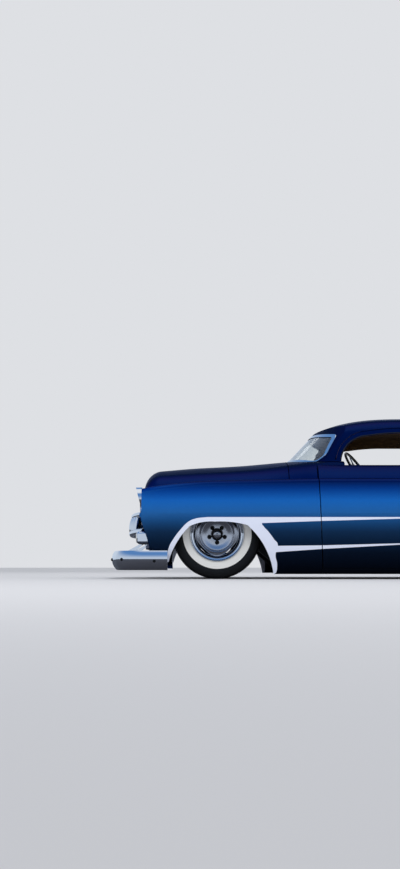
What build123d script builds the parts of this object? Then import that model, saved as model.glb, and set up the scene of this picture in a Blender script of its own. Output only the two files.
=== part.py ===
"""Lowered and chopped two-door hot rod, early fifties body style.

Separate panels, glass, trim and running gear.

Frame: millimetres, +X forward, +Y to the car's left, +Z up, origin on the ground under the middle of the car.
"""
from build123d import *
from math import asin, cos, pi, radians, sin, sqrt, tan
import os

# overall sizes
wheelbase = 2921.0
front_overhang = 855.0  # front axle to the front of the bumper
rear_overhang = 1190.0  # rear axle to the back of the bumper
body_bottom = 38.0
body_half_width = 930.0
panel_gap = 6.0
door_gap = 7.0
seat_gap = 0.3  # between bodies that rest on each other

length = wheelbase + front_overhang + rear_overhang
front_axle = length / 2 - front_overhang
rear_axle = front_axle - wheelbase

# body stations along the car
fender_front = front_axle + 584.0
hood_rear = front_axle - 560.0
door_front = front_axle - 776.0  # at the crease
door_slant = 24.0  # how much further back the gap is at the door's foot
door_rear = rear_axle + 910.0
deck_front = rear_axle - 243.0  # front edge of the boot lid
tail = rear_axle - 1037.0
firewall_x = front_axle - 643.0

# wall thicknesses
fender_wall = 18.0
door_wall = 55.0
quarter_wall = 22.0
lid_wall = 20.0
roof_wall = 36.0
glass_wall = 6.0
trim_wall = 3.0

# body heights
door_foot = 79.0
crease_height = 770.0
belt_base = 640.0  # the upper body starts here, inside the fenders
widest_height = 500.0
shoulder_radius = 42.0
tail_radius = 95.0

# floor and frame
floor_bottom = 150.0
floor_wall = 12.0
floor_half = body_half_width - 130
boot_floor_bottom = 520.0
tunnel_half = 130.0
tunnel_top = 330.0
rail_inner = 370.0
rail_outer = 430.0
rail_bottom = 60.0
tub_radius = 402.0
tub_inner = 588.0

# wheels
wheel_radius = 343.0
tyre_width = 190.0
front_wheel_y = 690.0
rear_wheel_y = 740.0
rim_radius = 190.5
flange_height = 17.5
rim_width = 160.0
barrel_wall = 5.0
spindle_radius = 25.0
running_gap = 0.05  # spindle in hub
kingpin_y = 592.0
steer_arm = 120.0

# steering column: centre of the wheel and its slope
wheel_centre = Vector(461, 380, 833)
column_dir = Vector(-sin(radians(55)), 0, cos(radians(55)))
column_length = 850.0
column_radius = 22.0
column_low = wheel_centre - column_dir * column_length

# doors
hinge_y = (body_half_width - 54, body_half_width - 40)  # hinge leaves on the pillar, inside the fender's skin
sill_y = body_half_width - 183  # inner edge of the door's top
sill_middle = body_half_width - 50


def across(x):
    """Plane across the car at x, local axes Y and Z."""
    return Plane(origin=(x, 0, 0), x_dir=(0, 1, 0), z_dir=(1, 0, 0))


def side_prism(outline, y_low, y_high):
    """Solid whose X-Z outline runs across the car from y_low to y_high."""
    plane = Plane(origin=(0, y_high, 0), x_dir=(1, 0, 0), z_dir=(0, -1, 0))
    return extrude(plane * outline, amount=y_high - y_low)


def front_prism(outline, x_low, x_high):
    """Solid whose Y-Z outline runs along the car from x_low to x_high."""
    return extrude(across(x_low) * outline, amount=x_high - x_low)


def top_prism(outline, z_low, z_high):
    """Solid whose X-Y outline runs up from z_low to z_high."""
    return extrude(Plane.XY.offset(z_low) * outline, amount=z_high - z_low)


def block(x, y, z):
    """Box between two values on each axis."""
    centre = Pos((x[0] + x[1]) / 2, (y[0] + y[1]) / 2, (z[0] + z[1]) / 2)
    return centre * Box(abs(x[1] - x[0]), abs(y[1] - y[0]), abs(z[1] - z[0]))


def rod(start, end, radius):
    """Round bar between two points."""
    along = Vector(*end) - Vector(*start)
    return extrude(Plane(origin=start, z_dir=along) * Circle(radius), amount=along.length)


def polygon(*points):
    return make_face(Polyline(*points, close=True))


def mirrored(shape):
    return mirror(shape, about=Plane.XZ)


def both_sides(shape):
    return shape + mirrored(shape)


def main_solid(shape):
    """The largest solid, where a cut leaves loose slivers."""
    return max(shape.solids(), key=lambda solid: solid.volume)


parts = {}


def keep(name, shape):
    parts[name] = shape


# body forms: each takes an inset, so that one form gives the outer and the inner skin

def widths(x, widest_in, foot_in, crease_in, crease_drop):
    """Station of the lower body: x, half widths at the foot, widest and crease, and the crease's height.

    widest_in is measured in from the body's half width, foot_in and crease_in from the widest line.
    """
    widest = body_half_width - widest_in
    return x, widest - foot_in, widest, widest - crease_in, crease_height - crease_drop


door_station = widths(door_front, 0, 64, 27, 0)
fender_stations = (
    widths(fender_front, 88, 72, 20, 76),
    widths(front_axle + 500, 40, 78, 22, 61),
    widths(front_axle + 360, 10, 78, 27, 43),
    widths(front_axle + 90, 0.5, 69, 30, 19.5),
    widths(front_axle, 0, 68, 30, 17),
    door_station,
    widths(door_front - 60, 0, 64, 27, 0),
)
quarter_stations = (
    widths(door_rear + 40, 0, 64, 27, 0),
    widths(door_rear - 120, -1, 65, 28, -2),
    widths(rear_axle + 330, -12, 70, 37, -24),
    widths(rear_axle, -16, 72, 43, -32),
    widths(rear_axle - 500, -3, 71, 51, -12),
    widths(rear_axle - 850, 33, 65, 59, 38),
    widths(tail, 80, 60, 60, 84),
)


def bulge(start, widest, upwards):
    """Middle point of the arc from start to widest that stands upright at widest."""
    across_by = max(widest[0] - start[0], 0.5)
    up_by = abs(widest[1] - start[1])
    radius = (across_by**2 + up_by**2) / (2 * across_by)
    half = asin(min(up_by / radius, 1.0)) / 2
    sign = -1 if upwards else 1
    return (widest[0] - radius * (1 - cos(half)), widest[1] + sign * radius * sin(half))


def lower_section(foot, widest, crease, top, inset):
    """Y-Z outline of the left fender or door from the body's foot to the crease."""
    foot, widest, crease, top = foot - inset, widest - inset, crease - inset, top - inset
    round_by = max(shoulder_radius - inset, 8.0)
    low = body_bottom if inset == 0 else body_bottom - 40.0
    wide_point = (widest, widest_height)
    neck = (crease, top - round_by)
    shelf = (crease - round_by, top)
    corner = (crease - round_by * (1 - cos(pi / 4)), top - round_by * (1 - sin(pi / 4)))
    return make_face(
        Line((0, low), (foot, low))
        + ThreePointArc((foot, low), bulge((foot, low), wide_point, True), wide_point)
        + ThreePointArc(wide_point, bulge(neck, wide_point, False), neck)
        + ThreePointArc(neck, corner, shelf)
        + Line(shelf, (0, top))
        + Line((0, top), (0, low))
    )


def lower_form(stations, inset, closed_at):
    """Left half of the fender or quarter. closed_at is 0 where the first station has an end wall, else -1.

    The flat stretch beside the door is ruled, so that the curved stretch stays fair.
    """
    faces = []
    end = stations[closed_at]
    for station in stations:
        x = station[0]
        if station is end:
            x += inset if closed_at else -inset
        faces.append(across(x) * lower_section(*station[1:], inset))
    if closed_at == 0:
        return loft(faces[:5]) + loft(faces[4:], ruled=True)
    return loft(faces[1:]) + loft(faces[:2], ruled=True)


# columns: x, half width at the base, base height, height on the centre line, sweep of the side arc in degrees
belt_shape = (body_half_width - 45, belt_base, 958, 83)
hood_nose_height = 886.0
nose_radius = 0.61 * (hood_nose_height - belt_base)
hood_stations = (
    (fender_front, 486, belt_base, hood_nose_height, 72),
    (front_axle + 300, 548, belt_base, 898, 72),
    (front_axle, 612, belt_base, 916, 73),
    (front_axle - 350, 690, belt_base, 938, 75),
    (hood_rear, 770, belt_base, 955, 78),
    (door_front, *belt_shape),
    (door_front - 250, *belt_shape),
)
deck_stations = (
    (door_rear + 40, *belt_shape),
    (door_rear - 250, *belt_shape),
    (rear_axle, 880, 560, 950, 82),
    (rear_axle - 400, 845, 480, 918, 80),
    (rear_axle - 750, 790, 440, 858, 78),
    (tail, 720, 440, 745, 77),
)


def upper_section(half, low, top, sweep, inset):
    """Y-Z outline of the hood, belt or deck: two side arcs that start upright and one crown arc."""
    half, top = half - inset, top - inset
    rise = tan(radians(90 - sweep) / 2)
    turn = radians(sweep)
    side_radius = (top - low - half * rise) / (sin(turn) - (1 - cos(turn)) * rise)
    shoulder = (half - side_radius * (1 - cos(turn)), low + side_radius * sin(turn))
    middle = (half - side_radius * (1 - cos(turn / 2)), low + side_radius * sin(turn / 2))
    return make_face(
        Line((-half, low), (half, low))
        + ThreePointArc((half, low), middle, shoulder)
        + ThreePointArc(shoulder, (0, top), (-shoulder[0], shoulder[1]))
        + ThreePointArc((-shoulder[0], shoulder[1]), (-middle[0], middle[1]), (-half, low))
    )


def upper_form(stations, inset, closed_at, end_radius):
    """Full-width hood or deck, with a rounded end at one station."""
    faces = []
    end = stations[closed_at]
    for station in stations:
        x = station[0]
        if station is end:
            x += inset if closed_at else -inset
        faces.append(across(x) * upper_section(*station[1:], inset))
    form = loft(faces)
    end_x = end[0] + (inset if closed_at else -inset)
    low = end[2] + 1
    rounded = [edge for edge in form.edges() if abs(edge.center().X - end_x) < 1 and edge.center().Z > low]
    return fillet(rounded, end_radius - inset)


# columns: x, half width at the belt, height on the centre line, lean in degrees,
# rail radius, crown slope in degrees
roof_base = 850.0
roof_stations = (
    (front_axle - 560, 690, 1075, 18, 60, 7),
    (front_axle - 815, 722, 1192, 18, 85, 8),
    (front_axle - 1090, 740, 1279, 18, 125, 10),
    (front_axle - 1650, 745, 1309, 18, 150, 11),
    (rear_axle + 850, 745, 1300, 18, 150, 11),
    (rear_axle + 400, 741, 1258, 18, 145, 11),
    (rear_axle, 728, 1155, 18, 120, 10),
    (rear_axle - 330, 705, 1000, 18, 70, 8),
)


def roof_section(belt, centre, lean, rail_radius, slope, inset):
    """Y-Z outline of the cabin: leaning sides, round rails and a crowned top."""
    half, top = belt - inset, centre - inset
    rail = rail_radius - inset * 0.6
    tilt, end = radians(lean), radians(slope)
    rise = tan(end / 2)
    side = top - roof_base + rail * sin(tilt) - rail * cos(end)
    wall = (side - rise * (half - rail * cos(tilt) + rail * sin(end))) / (cos(tilt) - rise * sin(tilt))
    foot = (half - wall * sin(tilt), roof_base + wall * cos(tilt))
    hub = (foot[0] - rail * cos(tilt), foot[1] - rail * sin(tilt))
    middle_angle = (tilt + pi / 2 - end) / 2
    middle = (hub[0] + rail * cos(middle_angle), hub[1] + rail * sin(middle_angle))
    edge = (hub[0] + rail * sin(end), hub[1] + rail * cos(end))
    return make_face(
        Line((-half, roof_base), (half, roof_base))
        + Line((half, roof_base), foot)
        + ThreePointArc(foot, middle, edge)
        + ThreePointArc(edge, (0, top), (-edge[0], edge[1]))
        + ThreePointArc((-edge[0], edge[1]), (-middle[0], middle[1]), (-foot[0], foot[1]))
        + Line((-foot[0], foot[1]), (-half, roof_base))
    )


def roof_form(inset):
    """Whole cabin top, before the windscreen and rear window cut its ends."""
    return loft([across(x) * roof_section(*shape, inset) for x, *shape in roof_stations])


# raked curved glass: plan radius, x and z of its foot on the centre line, run back for each rise
screen = (1000.0, front_axle - 605.0, 970.0, 0.95)
backlight = (900.0, rear_axle - 150.0, 925.0, 1.12)


def behind_glass(glass, facing, inset):
    """Solid on the cabin side of the windscreen (facing 1) or the rear window (facing -1)."""
    radius, foot_x, foot_z, rake = glass
    bow = radius - inset
    half = 850.0
    faces = []
    for z in (600.0, 1500.0):
        hub = foot_x - facing * (radius + rake * (z - foot_z))
        side = hub + facing * sqrt(bow**2 - half**2)
        far = hub - facing * 3500.0
        outline = (
            ThreePointArc((side, -half), (hub + facing * bow, 0), (side, half))
            + Line((side, half), (far, half))
            + Line((far, half), (far, -half))
            + Line((far, -half), (side, -half))
        )
        faces.append(Plane.XY.offset(z) * make_face(outline))
    return loft(faces, ruled=True)


def cabin_form(inset):
    return roof_form(inset) & behind_glass(screen, 1, inset) & behind_glass(backlight, -1, inset)


# openings
arch_top = 436.0
side_window_sill = 868.0
window_front = front_axle - 986.0
window_rear = rear_axle + 300.0
window_top = 1140.0
divider_x = door_rear - 8.0


def arch(axle):
    """Side outline of a wheel arch: a flat top, a slanted front side and a steeper rear side."""
    front_foot = (axle + 392, -20)
    front_mid = (axle + 330, 242)
    front_top = (axle + 209, arch_top - 33)
    crest = (axle + 20, arch_top)
    rear_top = (axle - 228, arch_top - 26)
    rear_mid = (axle - 357, 252)
    rear_foot = (axle - 433, -20)
    return make_face(
        ThreePointArc(front_foot, front_mid, front_top)
        + ThreePointArc(front_top, (axle + 120, arch_top - 5), crest)
        + ThreePointArc(crest, (axle - 115, arch_top - 4), rear_top)
        + ThreePointArc(rear_top, rear_mid, rear_foot)
        + Line(rear_foot, front_foot)
    )


def side_window():
    """Outline of the long side opening, from the windscreen pillar to the sail panel."""
    front_low = (window_front + 12, side_window_sill)
    front_mid = (window_front - 52, 1052)
    front_top = (window_front - 205, window_top - 22)
    crest = (window_front - 520, window_top)
    rear_crest = (window_rear + 600, window_top)
    rear_top = (window_rear + 330, window_top - 12)
    rear_mid = (window_rear + 95, 1040)
    rear_low = (window_rear - 15, side_window_sill)
    return make_face(
        ThreePointArc(front_low, front_mid, front_top)
        + ThreePointArc(front_top, (window_front - 350, window_top - 5), crest)
        + Line(crest, rear_crest)
        + ThreePointArc(rear_crest, (window_rear + 460, window_top - 3), rear_top)
        + ThreePointArc(rear_top, rear_mid, rear_low)
        + Line(rear_low, front_low)
    )


# columns: half width and height of the lower corners, of the upper corners,
# height at the middle of foot and top
screen_size = (body_half_width - 240, 906, body_half_width - 355, 1128, 962, 1164)
backlight_size = (body_half_width - 355, 925, body_half_width - 450, 1105, 948, 1142)


def glass_opening(size, grow):
    """Y-Z outline of the windscreen or rear window, seen along the car."""
    foot_half, foot_z, top_half, top_z, foot_mid, top_mid = size
    foot_half, foot_z, foot_mid = foot_half + grow, foot_z - grow, foot_mid - grow
    top_half, top_z, top_mid = top_half + grow, top_z + grow, top_mid + grow
    outline = make_face(
        ThreePointArc((-foot_half, foot_z), (0, foot_mid), (foot_half, foot_z))
        + Line((foot_half, foot_z), (top_half, top_z))
        + ThreePointArc((top_half, top_z), (0, top_mid), (-top_half, top_z))
        + Line((-top_half, top_z), (-foot_half, foot_z))
    )
    return fillet(outline.vertices(), 45 + grow)


# front fenders
far = 1000.0
gap_slope = door_slant / (crease_height - door_foot)


def door_edge(offset):
    """Points of the slanted gap ahead of the door, moved forward by offset."""
    return (door_front + offset - door_slant, door_foot), (door_front + offset, crease_height)


fender_inner = lower_form(fender_stations, fender_wall, 0)
low_edge, top_edge = door_edge(0)
behind_fender = polygon(
    (door_front - 200, -10), (low_edge[0], -10), low_edge, top_edge, (top_edge[0], far), (door_front - 200, far)
)
nose_half = 560.0
lamp_y = 700.0
lamp_z = 612.0
lamp_radius = 88.0
below_lamp = polygon(
    (fender_front + 20, 445), (fender_front, 445), (fender_front - 57, 276), (fender_front - 72, 130),
    (front_axle + 340, 130), (front_axle + 340, -10), (fender_front + 20, -10),
)
hood_hole = upper_form(hood_stations, -panel_gap, 0, nose_radius)
fender = lower_form(fender_stations, 0, 0) - fender_inner
fender = fender - side_prism(behind_fender, 0, far)
fender = fender - side_prism(arch(front_axle), 0, far)
fender = fender - side_prism(below_lamp, 0, far)
fender = fender - hood_hole
fender = fender - block((front_axle + 380, fender_front + 20), (-1, nose_half), (0, 674))
fender = fender - rod((fender_front - 60, lamp_y, lamp_z), (fender_front + 20, lamp_y, lamp_z), lamp_radius)
fender = main_solid(fender)
keep("front_fender_left", fender)
keep("front_fender_right", mirrored(fender))

# hood
hood_inner = upper_form(hood_stations, lid_wall, 0, nose_radius)
lap = 8.0  # the hood reaches this far below the fender's top
crease_slope = (crease_height - fender_stations[4][4]) / (front_axle - door_front)
cowl_height = crease_height - crease_slope * (hood_rear - door_front)
hood_foot = [(x, top - lap) for x, foot, widest, crease, top in fender_stations[:5]]
hood_zone = polygon(
    (fender_front + 20, hood_foot[0][1]), *hood_foot[1:], (hood_rear, cowl_height - lap), (hood_rear, far),
    (fender_front + 20, far),
)
hood_outer = upper_form(hood_stations, 0, 0, nose_radius)
hood = (hood_outer - hood_inner) & side_prism(hood_zone, -far, far)
keep("hood", main_solid(hood))

# cowl: top panel under the windscreen, bulkhead and hinge pillars
cowl_front = hood_rear - panel_gap
cowl_skin = lid_wall + 8.0
cowl_inner = upper_form(hood_stations, cowl_skin, 0, nose_radius)
cowl_zone = block((door_front - 220, cowl_front), (-far, far), (crease_height - 8, far))
cowl_top = (hood_outer - cowl_inner) & cowl_zone
pillar_foot_y = body_half_width - 250  # the cowl closes the pillars' feet from here outwards
dash_way = block((door_front - 220, cowl_front), (-pillar_foot_y, pillar_foot_y), (0, far))
cowl_top = cowl_top - (behind_glass(screen, 1, roof_wall + 4) & dash_way)
door_reach = door_front + door_gap / 2
cowl_top = cowl_top - both_sides(block((0, door_reach), (sill_y - door_gap, far), (0, far)))
inside_front = hood_inner + both_sides(fender_inner)
bulkhead = block((firewall_x, firewall_x + 14), (-far, far), (floor_bottom + floor_wall, far)) & inside_front
tunnel_way = tunnel_half + floor_wall
tunnel_gate = block((firewall_x - 5, firewall_x + 20), (-tunnel_way, tunnel_way), (0, tunnel_top + floor_wall))
bulkhead = bulkhead - tunnel_gate
pillar = block((door_front + 16, firewall_x + 14), (floor_half, far), (door_foot, far)) & inside_front
pillar = pillar - block((door_front + 30, firewall_x), (0, floor_half + 50), (0, far))
column_hole = rod(tuple(column_low), tuple(wheel_centre), column_radius + 5)
hood_seat = upper_form(hood_stations, lid_wall + seat_gap, 0, nose_radius) - cowl_inner
hood_seat = hood_seat & block((cowl_front - 20, hood_rear + 25), (-600, 600), (800, far))
hinge_z = ((240, 300), (560, 620))
for low, high in hinge_z:
    edge_x = [door_front - door_gap + seat_gap - gap_slope * (crease_height - z) for z in (low, high)]
    leaf = polygon((edge_x[0], low), (edge_x[1], high), (door_front + 20, high), (door_front + 20, low))
    pillar = pillar + side_prism(leaf, hinge_y[0], hinge_y[1])
keep("cowl", main_solid(cowl_top + hood_seat + bulkhead + both_sides(pillar)) - column_hole)

# doors
outer_section = lower_section(*door_station[1:], 0) + upper_section(*belt_shape, 0)
inner_section = lower_section(*door_station[1:], door_wall) + upper_section(*belt_shape, door_wall)
low_edge, top_edge = door_edge(-door_gap)
door_outline = polygon(
    (door_rear, door_foot + door_gap / 2), (low_edge[0], door_foot + door_gap / 2), top_edge,
    (top_edge[0] - 6, far), (door_rear, far),
)
door = front_prism(outer_section - inner_section, door_rear - 10, door_front + 10)
door = door & side_prism(door_outline, sill_y, far)
bevel = 20.0  # the rear edge is cut back on the inside so that it swings clear
behind_door = polygon(
    (door_rear - 20, far), (door_rear, far), (door_rear, body_half_width + 20), (door_rear + bevel, sill_y),
    (door_rear + bevel, 0), (door_rear - 20, 0),
)
door = door - top_prism(behind_door, 0, far)
door = main_solid(door)
keep("door_left", door)
keep("door_right", mirrored(door))

# sills below the doors
sill_section = lower_section(*door_station[1:], 0) & Pos(sill_middle, 55.5) * Rectangle(220, 35)
sill_inner = Pos(sill_middle - 100, 94) * Rectangle(40, 112)
sill = front_prism(sill_section + sill_inner, door_rear - door_gap + 3, door_front - door_slant - 3)
keep("sill_left", sill)
keep("sill_right", mirrored(sill))

# quarters
quarter_edge = door_rear - door_gap
quarter_outer = lower_form(quarter_stations, 0, -1)
quarter_inner = lower_form(quarter_stations, quarter_wall, -1)
deck_outer = upper_form(deck_stations, 0, -1, tail_radius)
deck_inner = upper_form(deck_stations, quarter_wall, -1, tail_radius)
lid_half = 592.0
shelf_half = 690.0
shelf_rear = rear_axle - 150.0
left_half = block((tail - 20, quarter_edge), (0, far), (0, far))
quarter = (quarter_outer + (deck_outer & left_half)) - quarter_inner - deck_inner
quarter = quarter & left_half
quarter = quarter - block((shelf_rear, 0), (-1, shelf_half), (0, far))
quarter = quarter - block((tail - 20, shelf_rear), (-1, lid_half + panel_gap), (0, far))
quarter = quarter - side_prism(arch(rear_axle), 0, far)
departure_x = rear_axle - 700
under_tail = polygon(
    (departure_x, -10), (departure_x, body_bottom), (tail, 150), (tail - 20, 150), (tail - 20, -10),
)
quarter = quarter - side_prism(under_tail, 0, far)
tail_lamp_y = body_half_width - 225
tail_lamp_z = 560.0
tail_lamp_radius = 52.0
lamp_hole = rod((tail + 60, tail_lamp_y, tail_lamp_z), (tail - 20, tail_lamp_y, tail_lamp_z), tail_lamp_radius)
quarter = quarter - lamp_hole
quarter = main_solid(quarter)
keep("quarter_panel_left", quarter)
keep("quarter_panel_right", mirrored(quarter))

# boot lid, shelf and tail
lid_foot = 458.0
deck_skin = deck_outer - deck_inner
boot_lid = deck_skin & block((tail - 5, deck_front), (-lid_half, lid_half), (lid_foot, far))
keep("boot_lid", main_solid(boot_lid))
shelf_top = deck_skin & (
    block((shelf_rear, rear_axle + 150), (-shelf_half, shelf_half), (800, far))
    + block((deck_front + panel_gap, shelf_rear), (-lid_half - panel_gap, lid_half + panel_gap), (800, far))
)
shelf_top = shelf_top - behind_glass(backlight, -1, roof_wall + 4)
web_x = deck_front + panel_gap + 40
bulkhead_x = (rear_axle + 278, rear_axle + 290)
parcel_shelf = block((shelf_rear, bulkhead_x[1]), (-shelf_half, shelf_half), (822, 834))
parcel_shelf = parcel_shelf + block((web_x, shelf_rear), (-lid_half, lid_half), (822, 834))
seat_bulkhead = block(bulkhead_x, (-tub_inner, tub_inner), (boot_floor_bottom + floor_wall, 824))
deck_low = upper_form(deck_stations, quarter_wall + 8, -1, tail_radius)
lid_seat = upper_form(deck_stations, quarter_wall + seat_gap, -1, tail_radius) - deck_low
lid_seat = lid_seat & block((deck_front - 25, deck_front + panel_gap + 50), (-560, 560), (800, far))
shelf_web = block((web_x, web_x + 12), (-lid_half, lid_half), (830, far)) & deck_inner
keep("rear_shelf", main_solid(shelf_top + parcel_shelf + seat_bulkhead + shelf_web + lid_seat))
tail_half = lid_half + panel_gap
tail_panel = block((tail, tail + quarter_wall), (-tail_half, tail_half), (262, lid_foot - panel_gap))
keep("tail_panel", tail_panel)

# roof with pillars
cabin_outer = cabin_form(0)
roof = cabin_outer - cabin_form(roof_wall)
roof = roof - hood_outer - deck_outer - block((door_rear - 60, door_front), (-far, far), (0, 882))
window_prism = side_prism(side_window(), -far, far)
roof = roof - window_prism
screen_hole = front_prism(glass_opening(screen_size, 0), front_axle - 1100, front_axle)
backlight_hole = front_prism(glass_opening(backlight_size, 0), tail, rear_axle + 400)
roof = main_solid(roof - screen_hole - backlight_hole)
keep("roof", roof)

# glass
glass_inset = 4.0


def glass_sheet(glass, facing, hole):
    sheet = behind_glass(glass, facing, glass_inset) - behind_glass(glass, facing, glass_inset + glass_wall)
    return main_solid(sheet & hole)


keep("windscreen", glass_sheet(screen, 1, screen_hole) - hood_outer)
keep("rear_window", glass_sheet(backlight, -1, backlight_hole) - deck_outer)
side_sheet = (roof_form(glass_inset * 2) - roof_form(glass_inset * 2 + glass_wall)) & window_prism
side_sheet = side_sheet & block((window_rear - 60, divider_x), (0, far), (885, far))
side_sheet = main_solid(side_sheet - deck_outer)
keep("quarter_glass", both_sides(side_sheet))


# bright strips around the glass
def glass_trim(glass, facing, size, x_low, x_high):
    ring = front_prism(glass_opening(size, 12), x_low, x_high)
    ring = ring - front_prism(glass_opening(size, -9), x_low, x_high)
    return (behind_glass(glass, facing, -trim_wall) - behind_glass(glass, facing, 0)) & ring


screen_trim = glass_trim(screen, 1, screen_size, front_axle - 1100, front_axle) - hood_outer
backlight_trim = glass_trim(backlight, -1, backlight_size, tail, rear_axle + 400) - deck_outer
keep("windscreen_trim", main_solid(screen_trim))
keep("rear_window_trim", main_solid(backlight_trim))

# nose panel between the fenders, with the grille opening
nose_low = 236.0
nose_bow = ThreePointArc((fender_front - 60, -790), (fender_front - 4, 0), (fender_front - 60, 790))
nose_back = ThreePointArc((fender_front - 80, 790), (fender_front - 24, 0), (fender_front - 80, -790))
nose_plan = make_face(
    nose_bow + Line((fender_front - 60, 790), (fender_front - 80, 790)) + nose_back
    + Line((fender_front - 80, -790), (fender_front - 60, -790))
)
upper_half = nose_half - 2
nose_outline = polygon(
    (-790, nose_low), (790, nose_low), (790, 438), (upper_half, 438), (upper_half, 672), (-upper_half, 672),
    (-upper_half, 438), (-790, 438),
)
mouth = polygon((-610, 262), (610, 262), (610, 350), (430, 530), (-430, 530), (-610, 350))
mouth = fillet(mouth.vertices(), 40)
nose = top_prism(nose_plan, nose_low, 672) & front_prism(nose_outline, front_axle, fender_front + 20)
nose = nose - front_prism(mouth, front_axle, fender_front + 20)
shelf_plan = make_face(nose_bow + Line((fender_front - 60, 790), (front_axle + 430, 790))
                       + Line((front_axle + 430, 790), (front_axle + 430, -790))
                       + Line((front_axle + 430, -790), (fender_front - 60, -790)))
shelf_room = block((front_axle, fender_front + 20), (-upper_half, upper_half), (600, 700))
nose_shelf = top_prism(shelf_plan, 660, 672) & shelf_room
keep("nose_panel", main_solid(nose + nose_shelf))

# grille: two bowed bars, a row of teeth and an end housing at each side
upper_bar_z = 502.0
lower_bar_z = 362.0
upper_bar_x = fender_front + 95.0
lower_bar_x = fender_front + 106.0
upper_bar_radius = 24.0
lower_bar_radius = 30.0
bar_half = 745.0
bar_back = fender_front - 22.0
tooth_pitch = 110.0
tooth_count = 9
housing_y = 765.0


def bowed_bar(front_x, end_x, half, z, radius):
    path = ThreePointArc((end_x, -half, z), (front_x, 0, z), (end_x, half, z))
    start = path @ 0
    return sweep(Plane(origin=start, z_dir=path % 0) * Circle(radius), path=path)


def bow_x(front_x, end_x, half, y):
    """How far forward a bowed bar is at y."""
    drop = front_x - end_x
    radius = (half**2 + drop**2) / (2 * drop)
    return front_x - radius + sqrt(radius**2 - y**2)


upper_half_bar = 560.0
upper_end_x = fender_front + 6.0
grille = bowed_bar(upper_bar_x, upper_end_x, upper_half_bar, upper_bar_z, upper_bar_radius)
grille = grille + bowed_bar(lower_bar_x, bar_back, bar_half, lower_bar_z, lower_bar_radius)
for place in range(tooth_count):
    tooth_y = (place - (tooth_count - 1) / 2) * tooth_pitch
    top_x = bow_x(upper_bar_x, upper_end_x, upper_half_bar, tooth_y)
    foot_x = bow_x(lower_bar_x, bar_back, bar_half, tooth_y)
    foot_face = Plane(origin=(foot_x, tooth_y, lower_bar_z)) * Ellipse(24, 19)
    middle = ((foot_x + top_x) / 2 + 8, tooth_y, (lower_bar_z + upper_bar_z) / 2)
    middle_face = Plane(origin=middle) * Ellipse(27, 15)
    top_face = Plane(origin=(top_x, tooth_y, upper_bar_z)) * Ellipse(17, 11)
    grille = grille + loft([foot_face, middle_face, top_face])
for side in (1, -1):
    stay = rod((fender_front - 30, side * 545, upper_bar_z), (upper_end_x + 8, side * 545, upper_bar_z), 14)
    housing = block((fender_front - 70, fender_front + 33), (side * 695, side * 835), (266, 366))
    housing = fillet(housing.edges(), 22)
    housing = housing - both_sides(fender) - nose
    grille = grille + (stay - nose) + main_solid(housing)
keep("grille", main_solid(grille))

# headlamps
lamp_axis = Plane(origin=(fender_front, lamp_y, lamp_z), x_dir=(0, 1, 0), z_dir=(1, 0, 0))
visor_top = 47.0
visor_low = 13.0
visor_heights = (582, 706)  # the ring's front edge slopes between these
ring = extrude(lamp_axis * (Circle(98) - Circle(82)), amount=visor_top + 5)
visor_cut = polygon(
    (fender_front + visor_low, 500), (fender_front + 80, 500), (fender_front + 80, 720),
    (fender_front + visor_top + 2, 720), (fender_front + visor_top, visor_heights[1]),
    (fender_front + visor_low, visor_heights[0]),
)
ring = ring - side_prism(visor_cut, 0, far)
bucket = extrude(lamp_axis * (Circle(lamp_radius - 0.3) - Circle(82)), amount=-50)
bezel = ring + bucket
keep("headlamp_bezels", both_sides(bezel))
lens = extrude(lamp_axis * Circle(81.7), amount=58).moved(Pos(-45, 0, 0))
lens = fillet(lens.faces().sort_by(Axis.X)[-1].edges(), 12)
keep("headlamp_lenses", both_sides(lens))

# bumpers: a curved blade swept round the end of the car, on two irons
bumper_side = body_half_width - 5.0  # blade's path on the car's side
bumper_bow = 4160.0
bumper_corner = 200.0
blade_reach = 28.0  # how far the blade's ridge stands out from its path


def blade_outline():
    outer = ThreePointArc((-12, 82), (blade_reach, -15), (8, -66))
    inner = ThreePointArc((-2, -66), (blade_reach - 10, -15), (-22, 82))
    return make_face(outer + Line((8, -66), (-2, -66)) + inner + Line((-22, 82), (-12, 82)))


def bumper(front_x, end_x, height, iron_root):
    """Front bumper facing +X: front_x at its ridge, end_x where its sides stop, iron_root on the frame's end."""
    crown_x = front_x - blade_reach
    bow_centre = crown_x - bumper_bow
    corner_y = bumper_side - bumper_corner
    corner_x = bow_centre + sqrt((bumper_bow - bumper_corner)**2 - corner_y**2)
    share = bumper_bow / (bumper_bow - bumper_corner)
    meet = (bow_centre + (corner_x - bow_centre) * share, corner_y * share)
    turn = sqrt(0.5)
    along = Vector(meet[0] - corner_x, meet[1] - corner_y) + Vector(0, bumper_corner)
    middle = Vector(corner_x, corner_y) + along.normalized() * bumper_corner
    path = (
        Line((end_x, -bumper_side, height), (corner_x, -bumper_side, height))
        + ThreePointArc((corner_x, -bumper_side, height), (middle.X, -middle.Y, height), (meet[0], -meet[1], height))
        + ThreePointArc((meet[0], -meet[1], height), (crown_x, 0, height), (meet[0], meet[1], height))
        + ThreePointArc((meet[0], meet[1], height), (middle.X, middle.Y, height), (corner_x, bumper_side, height))
        + Line((corner_x, bumper_side, height), (end_x, bumper_side, height))
    )
    start = Plane(origin=(end_x, -bumper_side, height), x_dir=(0, -1, 0), z_dir=(1, 0, 0))
    blade = sweep(start * blade_outline(), path=path)
    iron = polygon(*iron_root, (crown_x - 60, height + 40), (crown_x + 6, height + 30), (crown_x + 6, height - 30),
                   (crown_x - 60, height - 30))
    iron_y = (rail_inner + rail_outer) / 2
    return blade + both_sides(side_prism(iron, iron_y - 6, iron_y + 6))


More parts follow.
